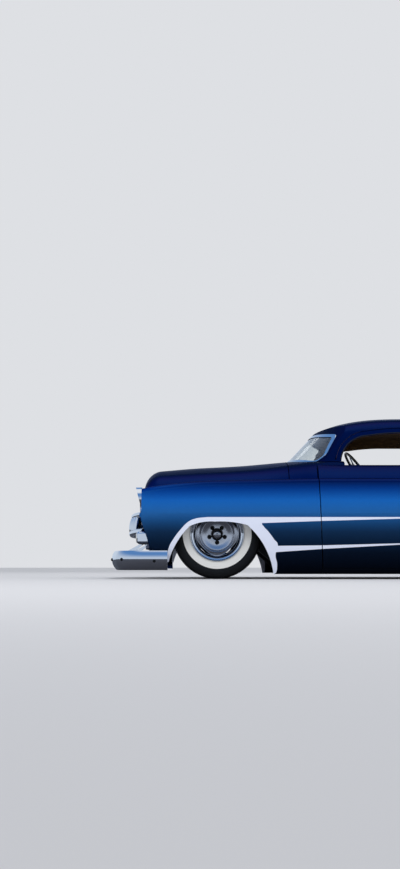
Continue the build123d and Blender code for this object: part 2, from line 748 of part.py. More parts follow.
rail_front = fender_front - 90.0
rail_rear = tail + 70.0
front_rail_bottom = 250.0
front_rail_top = 340.0
rear_rail_bottom = 440.0
bumper_height = 150.0
iron_low = front_rail_bottom + 20
front_root = ((fender_front + 4, iron_low), (rail_front, iron_low), (rail_front, front_rail_top))
front_bumper = bumper(length / 2, front_axle + 379, bumper_height, front_root)
keep("front_bumper", front_bumper)
rear_root = (
    (-rail_rear - 60, 200), (-rail_rear - 60, rear_rail_bottom), (-rail_rear, rear_rail_bottom), (-rail_rear, 245),
)
rear_blade = bumper(length / 2, -(rear_axle - 700), bumper_height + 30, rear_root)
keep("rear_bumper", mirror(rear_blade, about=Plane.YZ))

# frame
rail = side_prism(polygon(
    (rail_front, front_rail_bottom), (rail_front, front_rail_top), (front_axle - 330, front_rail_top),
    (front_axle - 560, floor_bottom), (rear_axle + 543, floor_bottom), (rear_axle + 293, boot_floor_bottom),
    (rail_rear, boot_floor_bottom), (rail_rear, rear_rail_bottom), (rear_axle + 293, rear_rail_bottom),
    (rear_axle + 543, rail_bottom), (front_axle - 520, rail_bottom), (front_axle - 300, front_rail_bottom),
), rail_inner, rail_outer)
frame = both_sides(rail)
crossmember = front_prism(polygon(
    (-rail_outer, front_rail_bottom), (rail_outer, front_rail_bottom), (rail_outer, front_rail_bottom - 25), (290, 140),
    (-290, 140), (-rail_outer, front_rail_bottom - 25),
), front_axle - 60, front_axle + 60)
frame = frame + crossmember
for x in (300, -500):
    frame = frame + block((x, x + 60), (-rail_inner, rail_inner), (floor_bottom - 25, floor_bottom))
for x in (rear_axle - 390, rail_rear):
    frame = frame + block((x, x + 40), (-rail_inner, rail_inner), (rear_rail_bottom, boot_floor_bottom))
frame = frame + block((rail_front - 40, rail_front), (-rail_inner, rail_inner), (front_rail_bottom, front_rail_top))
apron_y = 416.0
apron_wall = 8.0
tower_x = (front_axle - 70, front_axle + 70)
upper_arm_z = 455.0
for side in (1, -1):
    frame = frame + block(tower_x, (side * rail_inner, side * apron_y), (front_rail_top, upper_arm_z + 20))
    frame = frame + block(tower_x, (side * rail_outer, side * 530), (front_rail_top - 10, front_rail_top))
jack_x = (front_axle - 700, rear_axle + 640)
pad = 80.0
pad_z = 50.0
for x in jack_x:
    for side in (1, -1):
        rail_y = side * (rail_inner + rail_outer) / 2
        pad_sides = (x - pad / 2, x + pad / 2), (rail_y - pad / 2, rail_y + pad / 2)
        frame = frame + block(*pad_sides, (pad_z, rail_bottom))
keep("chassis_frame", frame)

# floor: flat cabin floor with a tunnel, a step up over the rear axle and the boot floor
step_low = rear_axle + 593
step_high = rear_axle + 333
floor_top = floor_bottom + floor_wall
boot_floor_top = boot_floor_bottom + floor_wall
floor_profile = polygon(
    (firewall_x + 14, floor_bottom), (firewall_x + 14, floor_top), (step_low + 4, floor_top),
    (step_high + 8, boot_floor_top), (tail + 40, boot_floor_top), (tail + 40, boot_floor_bottom),
    (step_high, boot_floor_bottom), (step_low, floor_bottom),
)
floor_pan = side_prism(floor_profile, -floor_half, floor_half)
tunnel_outer = block((step_high, firewall_x + 14), (-tunnel_half - floor_wall, tunnel_half + floor_wall),
                     (floor_bottom, tunnel_top + floor_wall))
above_step = polygon((firewall_x + 14, floor_bottom), (firewall_x + 14, 700), (step_high, 700),
                     (step_high, boot_floor_bottom), (step_low, floor_bottom))
tunnel_outer = tunnel_outer & side_prism(above_step, -200, 200)
floor_pan = floor_pan + tunnel_outer
floor_pan = floor_pan - block((step_high, firewall_x + 20), (-tunnel_half, tunnel_half), (0, tunnel_top))
tub_x = (rear_axle - tub_radius, rear_axle + tub_radius)
for side in (1, -1):
    floor_pan = floor_pan - block(tub_x, (side * tub_inner, side * far), (0, far))
floor_pan = floor_pan & both_sides(lower_form(quarter_stations, quarter_wall, -1)
                                   + block((door_rear, far * 2), (0, far), (0, far)))
keep("floor_pan", main_solid(floor_pan))

# rear wheel tubs
tub_plane = Plane(origin=(rear_axle, tub_inner, wheel_radius), x_dir=(1, 0, 0), z_dir=(0, 1, 0))
tub = extrude(tub_plane * Circle(tub_radius), amount=far) - extrude(
    Plane(origin=(rear_axle, tub_inner + floor_wall, wheel_radius), x_dir=(1, 0, 0), z_dir=(0, 1, 0))
    * Circle(tub_radius - floor_wall), amount=far)
tub = tub & block((tail, 0), (0, far), (300, far)) & quarter_inner
tub = tub - block((rear_axle - 80, rear_axle + 80), (0, tub_inner + 50), (0, wheel_radius + 110))
keep("rear_wheel_tubs", both_sides(main_solid(tub)))

# inner fenders and radiator support
apron_x = (firewall_x + 14, fender_front - 160)
apron = (block(apron_x, (apron_y, 650), (front_rail_top, far)) & fender_inner)
apron = apron - (block((0, far * 3), (apron_y + apron_wall, far), (0, far))
                 & lower_form(fender_stations, fender_wall + apron_wall, 0))
apron = main_solid(apron)
support = block((apron_x[1] - 10, apron_x[1]), (-apron_y, apron_y), (front_rail_top, 650))
support = support - block((apron_x[1] - 20, apron_x[1] + 10), (-330, 330), (390, 600))
keep("inner_fenders", both_sides(apron) + support)
keep("radiator", block((apron_x[1], apron_x[1] + 55), (-350, 350), (front_rail_top, 620)))

# engine, gearbox and drive shaft
crank_z = 400.0
engine = block((front_axle - 530, front_axle + 150), (-240, 240), (255, 760))
mount_z = 320.0
engine = engine + block((front_axle - 160, front_axle - 90), (-rail_inner, rail_inner), (mount_z - 30, mount_z))
keep("engine", engine)
shaft_z = 215.0
pinion_z = 300.0
gearbox_rear = front_axle - 1068.0
gearbox = rod((gearbox_rear, 0, shaft_z), (front_axle - 530, 0, shaft_z), 96)
drive_shaft = rod((rear_axle + 140, 0, pinion_z), (gearbox_rear + 5, 0, shaft_z), 38)
drive_shaft = drive_shaft - block((rear_axle, rear_axle + 155), (-100, 100), (0, far))
keep("gearbox_and_shaft", gearbox + drive_shaft)

# exhaust
pipe_z = 95.0
exhaust = None
for side in (1, -1):
    pipe = rod((front_axle - 540, side * 250, pipe_z), (rear_axle + 430, side * 250, pipe_z), 24)
    silencer = fillet(block((-600, -60), (side * 165, side * 335), (58, 122)).edges().filter_by(Axis.X), 28)
    pipe = pipe + silencer + block((-340, -320), (side * 240, side * 260), (118, floor_bottom))
    pipe = pipe + block((480, 500), (side * 240, side * 260), (pipe_z + 20, floor_bottom))
    exhaust = pipe if exhaust is None else exhaust + pipe
keep("exhaust", exhaust)

# fuel tank
tank = block((rear_axle - 850, rear_axle - 440), (-350, 350), (boot_floor_bottom - 190, boot_floor_bottom))
keep("fuel_tank", fillet(tank.edges().filter_by(Axis.Z), 40))

# rear axle, links and air springs
drum_radius = 150.0
backing_y = 78.0  # inner face of the backing plate, inboard of the wheel's centre plane
drum_inner_y = 70.0
hub_radius = 62.0
hub_end_y = 40.0
bore_end_y = 30.0
tube_end = rear_wheel_y - backing_y
axle_tube = rod((rear_axle, -tube_end, wheel_radius), (rear_axle, tube_end, wheel_radius), 42)
carrier = Pos(rear_axle, 0, wheel_radius - 15) * Sphere(135)
pinion = rod((rear_axle + 100, 0, pinion_z + 5), (rear_axle + 150, 0, pinion_z), 55)
rear_assembly = axle_tube + carrier + pinion
for side in (1, -1):
    plate = rod((rear_axle, side * tube_end, wheel_radius),
                (rear_axle, side * (rear_wheel_y - drum_inner_y - 2), wheel_radius), drum_radius)
    spindle = rod((rear_axle, side * tube_end, wheel_radius),
                  (rear_axle, side * (rear_wheel_y + bore_end_y - 1), wheel_radius), spindle_radius)
    rear_assembly = rear_assembly + plate + spindle
keep("rear_axle", rear_assembly)
link_front_x = rear_axle + 493
links = None
for side in (1, -1):
    link = rod((rear_axle + 40, side * 350, wheel_radius - 10), (link_front_x, side * 350, 180), 14)
    link = link + rod((link_front_x, side * 334, 180), (link_front_x, side * rail_inner, 180), 22)
    link = link - axle_tube
    spring = rod((rear_axle, side * 400, wheel_radius + 44), (rear_axle, side * 400, rear_rail_bottom), 62)
    saddle = block((rear_axle - 40, rear_axle + 40), (side * 360, side * 440), (wheel_radius, wheel_radius + 44))
    link = main_solid(link) + (spring + saddle - axle_tube)
    links = link if links is None else links + link
keep("rear_springs_and_links", links)

# front suspension: arms, ball studs and air springs
lower_arm_z = 160.0
arm_plan = polygon(
    (front_axle - 26, kingpin_y), (front_axle + 26, kingpin_y), (front_axle + 60, 500), (front_axle + 150, 300),
    (front_axle + 95, 300), (front_axle + 40, 430), (front_axle - 40, 430), (front_axle - 95, 300),
    (front_axle - 150, 300), (front_axle - 60, 500),
)
upright_low = lower_arm_z + 26
lower_arm = top_prism(arm_plan, lower_arm_z, lower_arm_z + 20) + rod(
    (front_axle, kingpin_y, lower_arm_z), (front_axle, kingpin_y, upright_low - seat_gap), 26)
spring_seat = block((front_axle - 50, front_axle + 50), (430, 530), (lower_arm_z, lower_arm_z + 20))
spring = rod((front_axle, 480, lower_arm_z + 20), (front_axle, 480, front_rail_top - 10), 48)
arm_root = apron_y + apron_wall
upper_plan = polygon(
    (front_axle - 16, kingpin_y), (front_axle + 16, kingpin_y), (front_axle + 55, 520), (front_axle + 68, arm_root),
    (front_axle + 30, arm_root), (front_axle + 20, 500), (front_axle - 20, 500), (front_axle - 30, arm_root),
    (front_axle - 68, arm_root), (front_axle - 55, 520),
)
upper_arm = top_prism(upper_plan, upper_arm_z, upper_arm_z + 18) + rod(
    (front_axle, kingpin_y, upper_arm_z), (front_axle, kingpin_y, upper_arm_z + 22), 18)
lower_arm = (lower_arm + spring_seat + spring) - crossmember
keep("front_suspension_arms", both_sides(main_solid(lower_arm)) + both_sides(upper_arm))

# knuckles with their steering arms and spindles
arm_end_x = front_axle - steer_arm
arm_low = 190.0
arm_high = 203.0


def knuckle():
    upright_z = (upright_low, upper_arm_z - seat_gap)
    upright = block((front_axle - 22, front_axle + 22), (kingpin_y - 12, kingpin_y + 12), upright_z)
    plate_y = front_wheel_y - drum_inner_y - 2
    plate = rod((front_axle, kingpin_y, wheel_radius), (front_axle, plate_y, wheel_radius), 60)
    cover = rod((front_axle, front_wheel_y - backing_y, wheel_radius),
                (front_axle, front_wheel_y - drum_inner_y - 2, wheel_radius), drum_radius)
    spindle = rod((front_axle, kingpin_y, wheel_radius),
                  (front_axle, front_wheel_y + bore_end_y - 1, wheel_radius), spindle_radius)
    arm = block((arm_end_x, front_axle), (kingpin_y - 9, kingpin_y + 9), (arm_low, arm_high))
    eye = rod((arm_end_x, kingpin_y - 2, arm_low), (arm_end_x, kingpin_y - 2, arm_high), 14)
    return upright + plate + cover + spindle + arm + eye


left_knuckle = knuckle()
keep("knuckle_left", left_knuckle)
keep("knuckle_right", mirrored(left_knuckle))
tie_radius = 12.0
tie_z = arm_high + seat_gap + tie_radius
tie_rod = rod((arm_end_x, -kingpin_y, tie_z), (arm_end_x, kingpin_y, tie_z), tie_radius)
keep("tie_rod", tie_rod)

# wheels: steel rims with a lobed centre, and whitewall tyres
bead_y = rim_width / 2 - 4
flange_radius = rim_radius + flange_height


def revolved(points, centre_y):
    """Turn an outline of (y, radius) points about the wheel's axis at the front left wheel's height."""
    outline = polygon(*[(radius, y) for y, radius in points])
    plane = Plane(origin=(0, centre_y, wheel_radius), x_dir=(1, 0, 0), z_dir=(0, 0, 1))
    return revolve(plane * outline, Axis((0, centre_y, wheel_radius), (0, 1, 0)))


def make_rim():
    """Rim at the origin's height, face outwards to +Y."""
    inner = rim_radius - barrel_wall
    barrel = revolved((
        (-bead_y - 6, flange_radius), (-bead_y, flange_radius), (-bead_y, rim_radius), (-45, rim_radius), (-38, 172),
        (30, 172), (38, rim_radius), (bead_y, rim_radius), (bead_y, flange_radius), (bead_y + 6, flange_radius),
        (bead_y + 6, flange_radius - 6), (bead_y + 2, inner), (40, inner), (32, 167), (-40, 167), (-47, inner),
        (-bead_y - 6, inner),
    ), 0)
    disc_half = 152.0
    square = RectangleRounded(2 * disc_half, 2 * disc_half, 95)
    face = Plane(origin=(0, 12, wheel_radius), x_dir=(1, 0, 0), z_dir=(0, 1, 0))
    disc = extrude(face * square.rotate(Axis.Z, 45), amount=8)
    disc = disc & extrude(face * Circle(169), amount=60)
    dish = revolved(((12, 0), (20, 135), (34, 128), (34, 118), (24, 84), (24, 0)), 0)
    centre = revolved(((-drum_inner_y, 0), (-drum_inner_y, hub_radius), (hub_end_y, hub_radius - 24), (58, 30),
                       (66, 0)), 0)
    drum = revolved(((-drum_inner_y, hub_radius - 5), (-drum_inner_y, drum_radius), (8, drum_radius), (12, 140),
                     (12, hub_radius - 5)), 0)
    rim = barrel + disc + dish + centre + drum
    for turn in range(5):
        angle = radians(90 + 72 * turn)
        nut = Pos(61 * cos(angle), 30, wheel_radius + 61 * sin(angle)) * Rot(90, 0, 0) * Cylinder(10, 16)
        rim = rim + nut
    bore = rod((0, -drum_inner_y - 5, wheel_radius), (0, bore_end_y, wheel_radius), spindle_radius + running_gap)
    return main_solid(rim - bore)


def make_tyre():
    half = tyre_width / 2
    bead = rim_radius + 0.1
    bead_side = bead_y - seat_gap
    outer = make_face(
        ThreePointArc((flange_radius + 3, -bead_side), (272, -half), (wheel_radius - 12, -80))
        + ThreePointArc((wheel_radius - 12, -80), (wheel_radius, 0), (wheel_radius - 12, 80))
        + ThreePointArc((wheel_radius - 12, 80), (272, half), (flange_radius + 3, bead_side))
        + Line((flange_radius + 3, bead_side), (bead, bead_side))
        + Line((bead, bead_side), (bead, bead_y - 16))
        + ThreePointArc((bead, bead_y - 16), (262, half - 15), (wheel_radius - 26, 66))
        + ThreePointArc((wheel_radius - 26, 66), (wheel_radius - 16, 0), (wheel_radius - 26, -66))
        + ThreePointArc((wheel_radius - 26, -66), (262, 15 - half), (bead, 16 - bead_y))
        + Line((bead, 16 - bead_y), (bead, -bead_side))
        + Line((bead, -bead_side), (flange_radius + 3, -bead_side))
    )
    plane = Plane(origin=(0, 0, wheel_radius), x_dir=(1, 0, 0), z_dir=(0, 0, 1))
    return revolve(plane * outer, Axis((0, 0, wheel_radius), (0, 1, 0)))


rim = make_rim()
tyre = make_tyre()
for corner, x, y in (("front", front_axle, front_wheel_y), ("rear", rear_axle, rear_wheel_y)):
    keep(f"rim_{corner}_left", Pos(x, y, 0) * rim)
    keep(f"rim_{corner}_right", Pos(x, -y, 0) * mirrored(rim))
    keep(f"tyre_{corner}_left", Pos(x, y, 0) * tyre)
    keep(f"tyre_{corner}_right", Pos(x, -y, 0) * tyre)

# dashboard
dash_half = body_half_width - 200
dash_outline = polygon((firewall_x, 715), (firewall_x, 862), (800, 866), (712, 848), (692, 770), (715, 722))
dash = side_prism(dash_outline, -dash_half, dash_half) & cowl_inner
keep("dashboard", main_solid(dash))

# steering: column, wheel and box on the frame
hub_length = 45.0
hub_back = wheel_centre - column_dir * (hub_length + 10)
column = rod(tuple(column_low), tuple(hub_back - column_dir * seat_gap), column_radius)
box_x = (column_low.X - 50, column_low.X + 50)
steering_box = block(box_x, (rail_inner, apron_y - 2), (200, column_low.Z + 40)) - frame
keep("steering_column", column + main_solid(steering_box))
hub_plane = Plane(origin=hub_back, z_dir=column_dir, x_dir=(0, 1, 0))
steering_hub = extrude(hub_plane * Circle(34), amount=hub_length)
rim_circle = Plane(origin=wheel_centre, z_dir=column_dir, x_dir=(0, 1, 0)) * CenterArc((0, 0), 208, 0, 360)
start = rim_circle @ 0
steering_wheel = sweep(Plane(origin=start, z_dir=rim_circle % 0) * Circle(11), path=rim_circle)
steering_wheel = steering_wheel + steering_hub
for angle in (90, 210, 330):
    reach = Plane(origin=wheel_centre, z_dir=column_dir, x_dir=(0, 1, 0))
    tip = reach.from_local_coords((204 * cos(radians(angle)), 204 * sin(radians(angle)), 0))
    steering_wheel = steering_wheel + rod(tuple(wheel_centre - column_dir * 25), tuple(tip), 8)
keep("steering_wheel", steering_wheel)

# seats
front_cushion = fillet(block((-60, 440), (-640, 640), (250, 400)).edges(), 45)
front_base = block((-20, 400), (-600, 600), (floor_top, 250))
front_base = front_base - block((-30, 420), (-150, 150), (0, tunnel_top + 20))
back_outline = polygon((-60, 290), (0, 390), (60, 410), (-60, 850), (-150, 850), (-130, 290))
front_back = side_prism(back_outline, -640, 640)
front_seat = front_cushion + front_base + fillet(front_back.edges().filter_by(Axis.Y), 25)
room_y = (-tunnel_way - 5, tunnel_way + 5)
tunnel_room = block((step_high, firewall_x), room_y, (0, tunnel_top + floor_wall + 5))
keep("front_seat", front_seat - tunnel_room)
cushion_front = rear_axle + 853
rear_outline = polygon((cushion_front, 240), (cushion_front, 400), (-800, 375), (-812, 360), (-735, 240))
rear_cushion = fillet(side_prism(rear_outline, -560, 560).edges().filter_by(Axis.Y), 12)
rear_base = block((-690, cushion_front - 30), (-540, 540), (floor_top, 250))
rear_base = rear_base - block((-710, 0), (-150, 150), (0, 345))
back_outline = polygon((-812, 390), (-905, 815), (bulkhead_x[1], 815), (bulkhead_x[1], 545), (-950, 538))
rear_back = side_prism(back_outline, -560, 560)
keep("rear_seat", rear_cushion + rear_base + fillet(rear_back.edges().filter_by(Axis.Y), 8) - tunnel_room)

# tail lamps
lamp_plane = Plane(origin=(tail, tail_lamp_y, tail_lamp_z), x_dir=(0, 1, 0), z_dir=(-1, 0, 0))
tail_ring = extrude(lamp_plane * (Circle(tail_lamp_radius + 8) - Circle(tail_lamp_radius - 6)), amount=14)
lens_face = lamp_plane * Circle(tail_lamp_radius - 6)
tail_lens = extrude(lens_face, amount=-20) + extrude(lens_face, amount=34)
tail_lens = fillet(tail_lens.faces().sort_by(Axis.X)[0].edges(), 20)
keep("tail_lamps", both_sides(tail_ring + tail_lens))

os.makedirs("parts", exist_ok=True)
for name, shape in parts.items():
    export_step(shape, f"parts/{name}.step")
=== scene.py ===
from math import cos, pi, radians, sin, sqrt
import bmesh
import bpy
import numpy as np
from mathutils import Matrix, Vector
from mathutils.bvhtree import BVHTree


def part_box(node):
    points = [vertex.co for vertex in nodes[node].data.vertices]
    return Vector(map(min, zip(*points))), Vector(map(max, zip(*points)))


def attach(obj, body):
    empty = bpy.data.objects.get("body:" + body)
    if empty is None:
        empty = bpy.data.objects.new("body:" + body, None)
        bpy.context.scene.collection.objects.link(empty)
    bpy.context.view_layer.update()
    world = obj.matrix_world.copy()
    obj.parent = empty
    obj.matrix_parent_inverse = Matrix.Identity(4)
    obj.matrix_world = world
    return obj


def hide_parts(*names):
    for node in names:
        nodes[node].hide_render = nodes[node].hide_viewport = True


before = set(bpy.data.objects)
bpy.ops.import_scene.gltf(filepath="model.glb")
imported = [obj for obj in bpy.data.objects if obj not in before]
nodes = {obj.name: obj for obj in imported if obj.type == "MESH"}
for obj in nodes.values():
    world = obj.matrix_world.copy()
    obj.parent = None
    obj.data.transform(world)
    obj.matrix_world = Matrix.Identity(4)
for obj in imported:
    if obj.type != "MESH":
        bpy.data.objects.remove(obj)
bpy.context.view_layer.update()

scene = bpy.context.scene
print("frame loaded:", len(nodes), "CAD nodes")

# places taken from the CAD model, in metres
frontAxle = 1.628
rearAxle = -1.293
wheelHeight = 0.343
frontWheelY = 0.69
rearWheelY = 0.74
sides = {"left": 1, "right": -1}


# shader building blocks
def seen(red, green, blue):  # a colour as it shows on screen, 0 to 255
    parts = [value / 255 for value in (red, green, blue)]
    return (*[v / 12.92 if v <= 0.04045 else ((v + 0.055) / 1.055) ** 2.4 for v in parts], 1.0)


def makeGroup(name, inputs, outputs):
    group = bpy.data.node_groups.new(name, "ShaderNodeTree")
    for label, kind, value in inputs:
        socket = group.interface.new_socket(label, in_out="INPUT", socket_type="NodeSocket" + kind)
        socket.default_value = value
    for label, kind in outputs:
        group.interface.new_socket(label, in_out="OUTPUT", socket_type="NodeSocket" + kind)
    return group, group.nodes.new("NodeGroupInput"), group.nodes.new("NodeGroupOutput")


def addNode(tree, kind, values=(), **settings):
    node = tree.nodes.new(kind if kind.startswith("Geometry") else "ShaderNode" + kind)
    for key, value in settings.items():
        setattr(node, key, value)
    for socket, value in dict(values).items():
        if isinstance(value, bpy.types.NodeSocket):
            tree.links.new(value, node.inputs[socket])
        else:
            node.inputs[socket].default_value = value
    return node


def mathNode(tree, operation, first, second=0.0):
    return addNode(tree, "Math", {0: first, 1: second}, operation=operation).outputs[0]


def addGroup(tree, group, values):
    node = tree.nodes.new("ShaderNodeGroup")
    node.node_tree = group
    for label, value in values.items():
        node.inputs[label].default_value = value
    return node


def remap(tree, value, low, high, newLow=0.0, newHigh=1.0, smooth=False):
    kind = "SMOOTHSTEP" if smooth else "LINEAR"
    values = {0: value, 1: low, 2: high, 3: newLow, 4: newHigh}
    return addNode(tree, "MapRange", values, interpolation_type=kind).outputs[0]


def curveNode(tree, value, points, straight=False):  # value in, height out, through points in metres
    xs = [p[0] for p in points]
    ys = [p[1] for p in points]
    node = tree.nodes.new("ShaderNodeFloatCurve")
    line = node.mapping.curves[0]
    spanX, spanY = max(xs) - min(xs), max(max(ys) - min(ys), 1e-4)
    placed = [((x - min(xs)) / spanX, (y - min(ys)) / spanY) for x, y in sorted(points)]
    for index, spot in enumerate(placed):
        if index < 2:
            line.points[index].location = spot if index == 0 else placed[-1]
        else:
            line.points.new(*placed[index - 1])
    for point in line.points:
        point.handle_type = "VECTOR" if straight else "AUTO_CLAMPED"
    node.mapping.use_clip = False
    node.mapping.update()
    tree.links.new(remap(tree, value, min(xs), max(xs)), node.inputs["Value"])
    return remap(tree, node.outputs[0], 0.0, 1.0, min(ys), min(ys) + spanY)


grainShape = {"fineDetail": 5.0, "broadScale": 2.3, "broadDetail": 3.0, "bumpDistance": 0.002, "gain": 4.0}


def makeGrain():  # fine unevenness that every finish uses with its own values
    group, start, end = makeGroup(
        "grain",
        [("Scale", "Float", 40.0), ("Depth", "Float", 0.1), ("Base", "Float", 0.4), ("Spread", "Float", 0.1)],
        [("Normal", "Vector"), ("Roughness", "Float"), ("Mask", "Float")],
    )
    spot = addNode(group, "TexCoord").outputs["Object"]
    fine = addNode(group, "TexNoise", {
        "Vector": spot, "Scale": start.outputs["Scale"], "Detail": grainShape["fineDetail"]})
    broad = addNode(group, "TexNoise", {
        "Vector": spot, "Scale": grainShape["broadScale"], "Detail": grainShape["broadDetail"]})
    bump = addNode(group, "Bump", {"Height": fine.outputs[0], "Strength": start.outputs["Depth"],
                                   "Distance": grainShape["bumpDistance"]})
    both = mathNode(group, "MULTIPLY", mathNode(group, "ADD", fine.outputs[0], broad.outputs[0]), 0.5)
    offset = mathNode(group, "MULTIPLY", mathNode(group, "SUBTRACT", both, 0.5), start.outputs["Spread"])
    offset = mathNode(group, "MULTIPLY", offset, grainShape["gain"])
    rough = mathNode(group, "ADD", start.outputs["Base"], offset)
    group.links.new(bump.outputs[0], end.inputs["Normal"])
    group.links.new(rough, end.inputs["Roughness"])
    group.links.new(both, end.inputs["Mask"])
    return group


grain = makeGrain()


def makeInnerSkin():  # 1 on the faces of a shell that look into the cabin
    group, start, end = makeGroup("innerSkin", [("Centre", "Vector", (0, 0, 0))], [("Mask", "Float")])
    coords = addNode(group, "TexCoord").outputs
    spots = {0: coords["Object"], 1: start.outputs["Centre"]}
    away = addNode(group, "VectorMath", spots, operation="SUBTRACT").outputs[0]
    facing = addNode(group, "VectorMath", {0: away, 1: coords["Normal"]}, operation="DOT_PRODUCT")
    inwards = -0.02  # below this the face looks back at the centre
    group.links.new(mathNode(group, "LESS_THAN", facing.outputs["Value"], inwards), end.inputs["Mask"])
    return group


innerSkin = makeInnerSkin()


def makeScallops():  # 1 where the pearl scallop is, round one wheel arch and along the panels behind it
    group, start, end = makeGroup(
        "scallops", [("Axle", "Float", frontAxle), ("Reach", "Float", 1.0)], [("Mask", "Float")])
    spot = addNode(group, "SeparateXYZ", {0: addNode(group, "TexCoord").outputs["Object"]})
    height = spot.outputs["Z"]
    ahead = mathNode(group, "SUBTRACT", spot.outputs["X"], start.outputs["Axle"])
    behind = mathNode(group, "MINIMUM", mathNode(group, "ADD", ahead, scallop["stretchFrom"]), 0.0)
    stretched = mathNode(group, "MULTIPLY", behind, start.outputs["Reach"])
    ahead = mathNode(group, "ADD", mathNode(group, "MAXIMUM", ahead, -scallop["stretchFrom"]), stretched)
    front = curveNode(group, height, scallop["bandFront"])
    rear = curveNode(group, height, scallop["bandRear"])
    upperLow = curveNode(group, ahead, scallop["upperSpearFoot"], True)
    lowerLow = curveNode(group, ahead, scallop["lowerSpearFoot"], True)
    lowerTop = curveNode(group, ahead, scallop["lowerSpearTop"], True)

    def between(low, value, high):  # a little soft, so that the edge isn't stepped
        above = remap(group, mathNode(group, "SUBTRACT", value, low), -scallop["blur"], scallop["blur"])
        below = remap(group, mathNode(group, "SUBTRACT", high, value), -scallop["blur"], scallop["blur"])
        return mathNode(group, "MULTIPLY", above, below)

    band = mathNode(group, "MULTIPLY", between(rear, ahead, front), between(-1.0, height, scallop["top"]))
    upper = between(upperLow, height, scallop["top"])
    upper = mathNode(group, "MULTIPLY", upper, between(scallop["upperTip"], ahead, scallop["upperRoot"]))
    lower = between(lowerLow, height, lowerTop)
    lower = mathNode(group, "MULTIPLY", lower, between(scallop["lowerTip"], ahead, scallop["lowerRoot"]))
    mask = mathNode(group, "MAXIMUM", band, mathNode(group, "MAXIMUM", upper, lower))
    group.links.new(mask, end.inputs["Mask"])
    return group


# heights above the ground and distances ahead of the axle
scallop = {
    "top": 0.47,
    "bandFront": [(0.0, 0.388), (0.12, 0.385), (0.184, 0.382), (0.243, 0.369), (0.308, 0.333), (0.374, 0.282),
                  (0.433, 0.224), (0.459, 0.165), (0.47, 0.075)],
    "bandRear": [(0.036, -0.431), (0.06, -0.452), (0.11, -0.455), (0.18, -0.443), (0.252, -0.46),
                 (0.3, -0.432), (0.36, -0.388), (0.4, -0.352), (0.425, -0.339), (0.44, -0.345)],
    "upperSpearFoot": [(-1.828, 0.469), (-1.392, 0.458), (-0.771, 0.44), (-0.365, 0.425), (-0.3, 0.424)],
    "lowerSpearFoot": [(-1.658, 0.268), (-1.393, 0.261), (-0.805, 0.229), (-0.456, 0.205), (-0.4, 0.2)],
    "lowerSpearTop": [(-1.658, 0.268), (-1.393, 0.271), (-0.805, 0.256), (-0.456, 0.252), (-0.4, 0.253)],
    "upperTip": -1.828,
    "upperRoot": -0.3,
    "lowerTip": -1.658,
    "lowerRoot": -0.43,
    "stretchFrom": 0.48,
    "rearReach": 2.9,
    "blur": 0.0006,
}
scallops = makeScallops()


def newMaterial(name, grainValues, **values):
    # grainValues: scale, depth, roughness, spread
    material = bpy.data.materials.new(name)
    material.use_nodes = True
    tree = material.node_tree
    shader = tree.nodes["Principled BSDF"]
    for socket, value in values.items():
        shader.inputs[socket.replace("_", " ")].default_value = value
    texture = addGroup(tree, grain, dict(zip(("Scale", "Depth", "Base", "Spread"), grainValues)))
    tree.links.new(texture.outputs["Roughness"], shader.inputs["Roughness"])
    if grainValues[1] > 0:
        tree.links.new(texture.outputs["Normal"], shader.inputs["Normal"])
    return material, tree, shader, texture


def mixColour(tree, mask, first, second):
    node = tree.nodes.new("ShaderNodeMix")
    node.data_type = "RGBA"
    for socket, value in ((0, mask), (6, first), (7, second)):
        if isinstance(value, bpy.types.NodeSocket):
            tree.links.new(value, node.inputs[socket])
        else:
            node.inputs[socket].default_value = value
    return node.outputs[2]


def plainFinish(name, light, dark, grainValues, **values):  # two tones that the grain mixes
    # a tone of three numbers is as seen on screen, one of four is the shader's own
    tones = [seen(*tone) if len(tone) == 3 else tone for tone in (dark, light)]
    material, tree, shader, texture = newMaterial(name, grainValues, **values)
    tree.links.new(mixColour(tree, texture.outputs["Mask"], *tones), shader.inputs["Base Color"])
    return material


paint = {
    # height above the ground and the colour there: painted reflection and shade in the blue, bright at mid
    # side, dark low down and navy on the top surfaces
    "paintedLightFade": [(0.03, (12, 16, 26)), (0.2, (26, 44, 70)), (0.36, (40, 80, 124)), (0.5, (52, 128, 200)),
             (0.6, (36, 128, 212)), (0.69, (12, 78, 156)), (0.742, (4, 36, 96)), (0.8, (3, 34, 92)),
             (0.95, (1, 26, 74)), (1.32, (2, 32, 88))],
    "pearl": (232, 238, 255),
    "pearlMetallic": 0.08,
    "metallic": 0.9,
    "roughness": 0.34,
    "innerRoughness": 0.85,
    "coat": 0.08,
    "coatRoughness": 0.04,
    "specular": 0.3,
    "edgeTint": (34, 66, 128),
    "flakeScale": 900.0,
    "flakeGlint": 0.18,
}


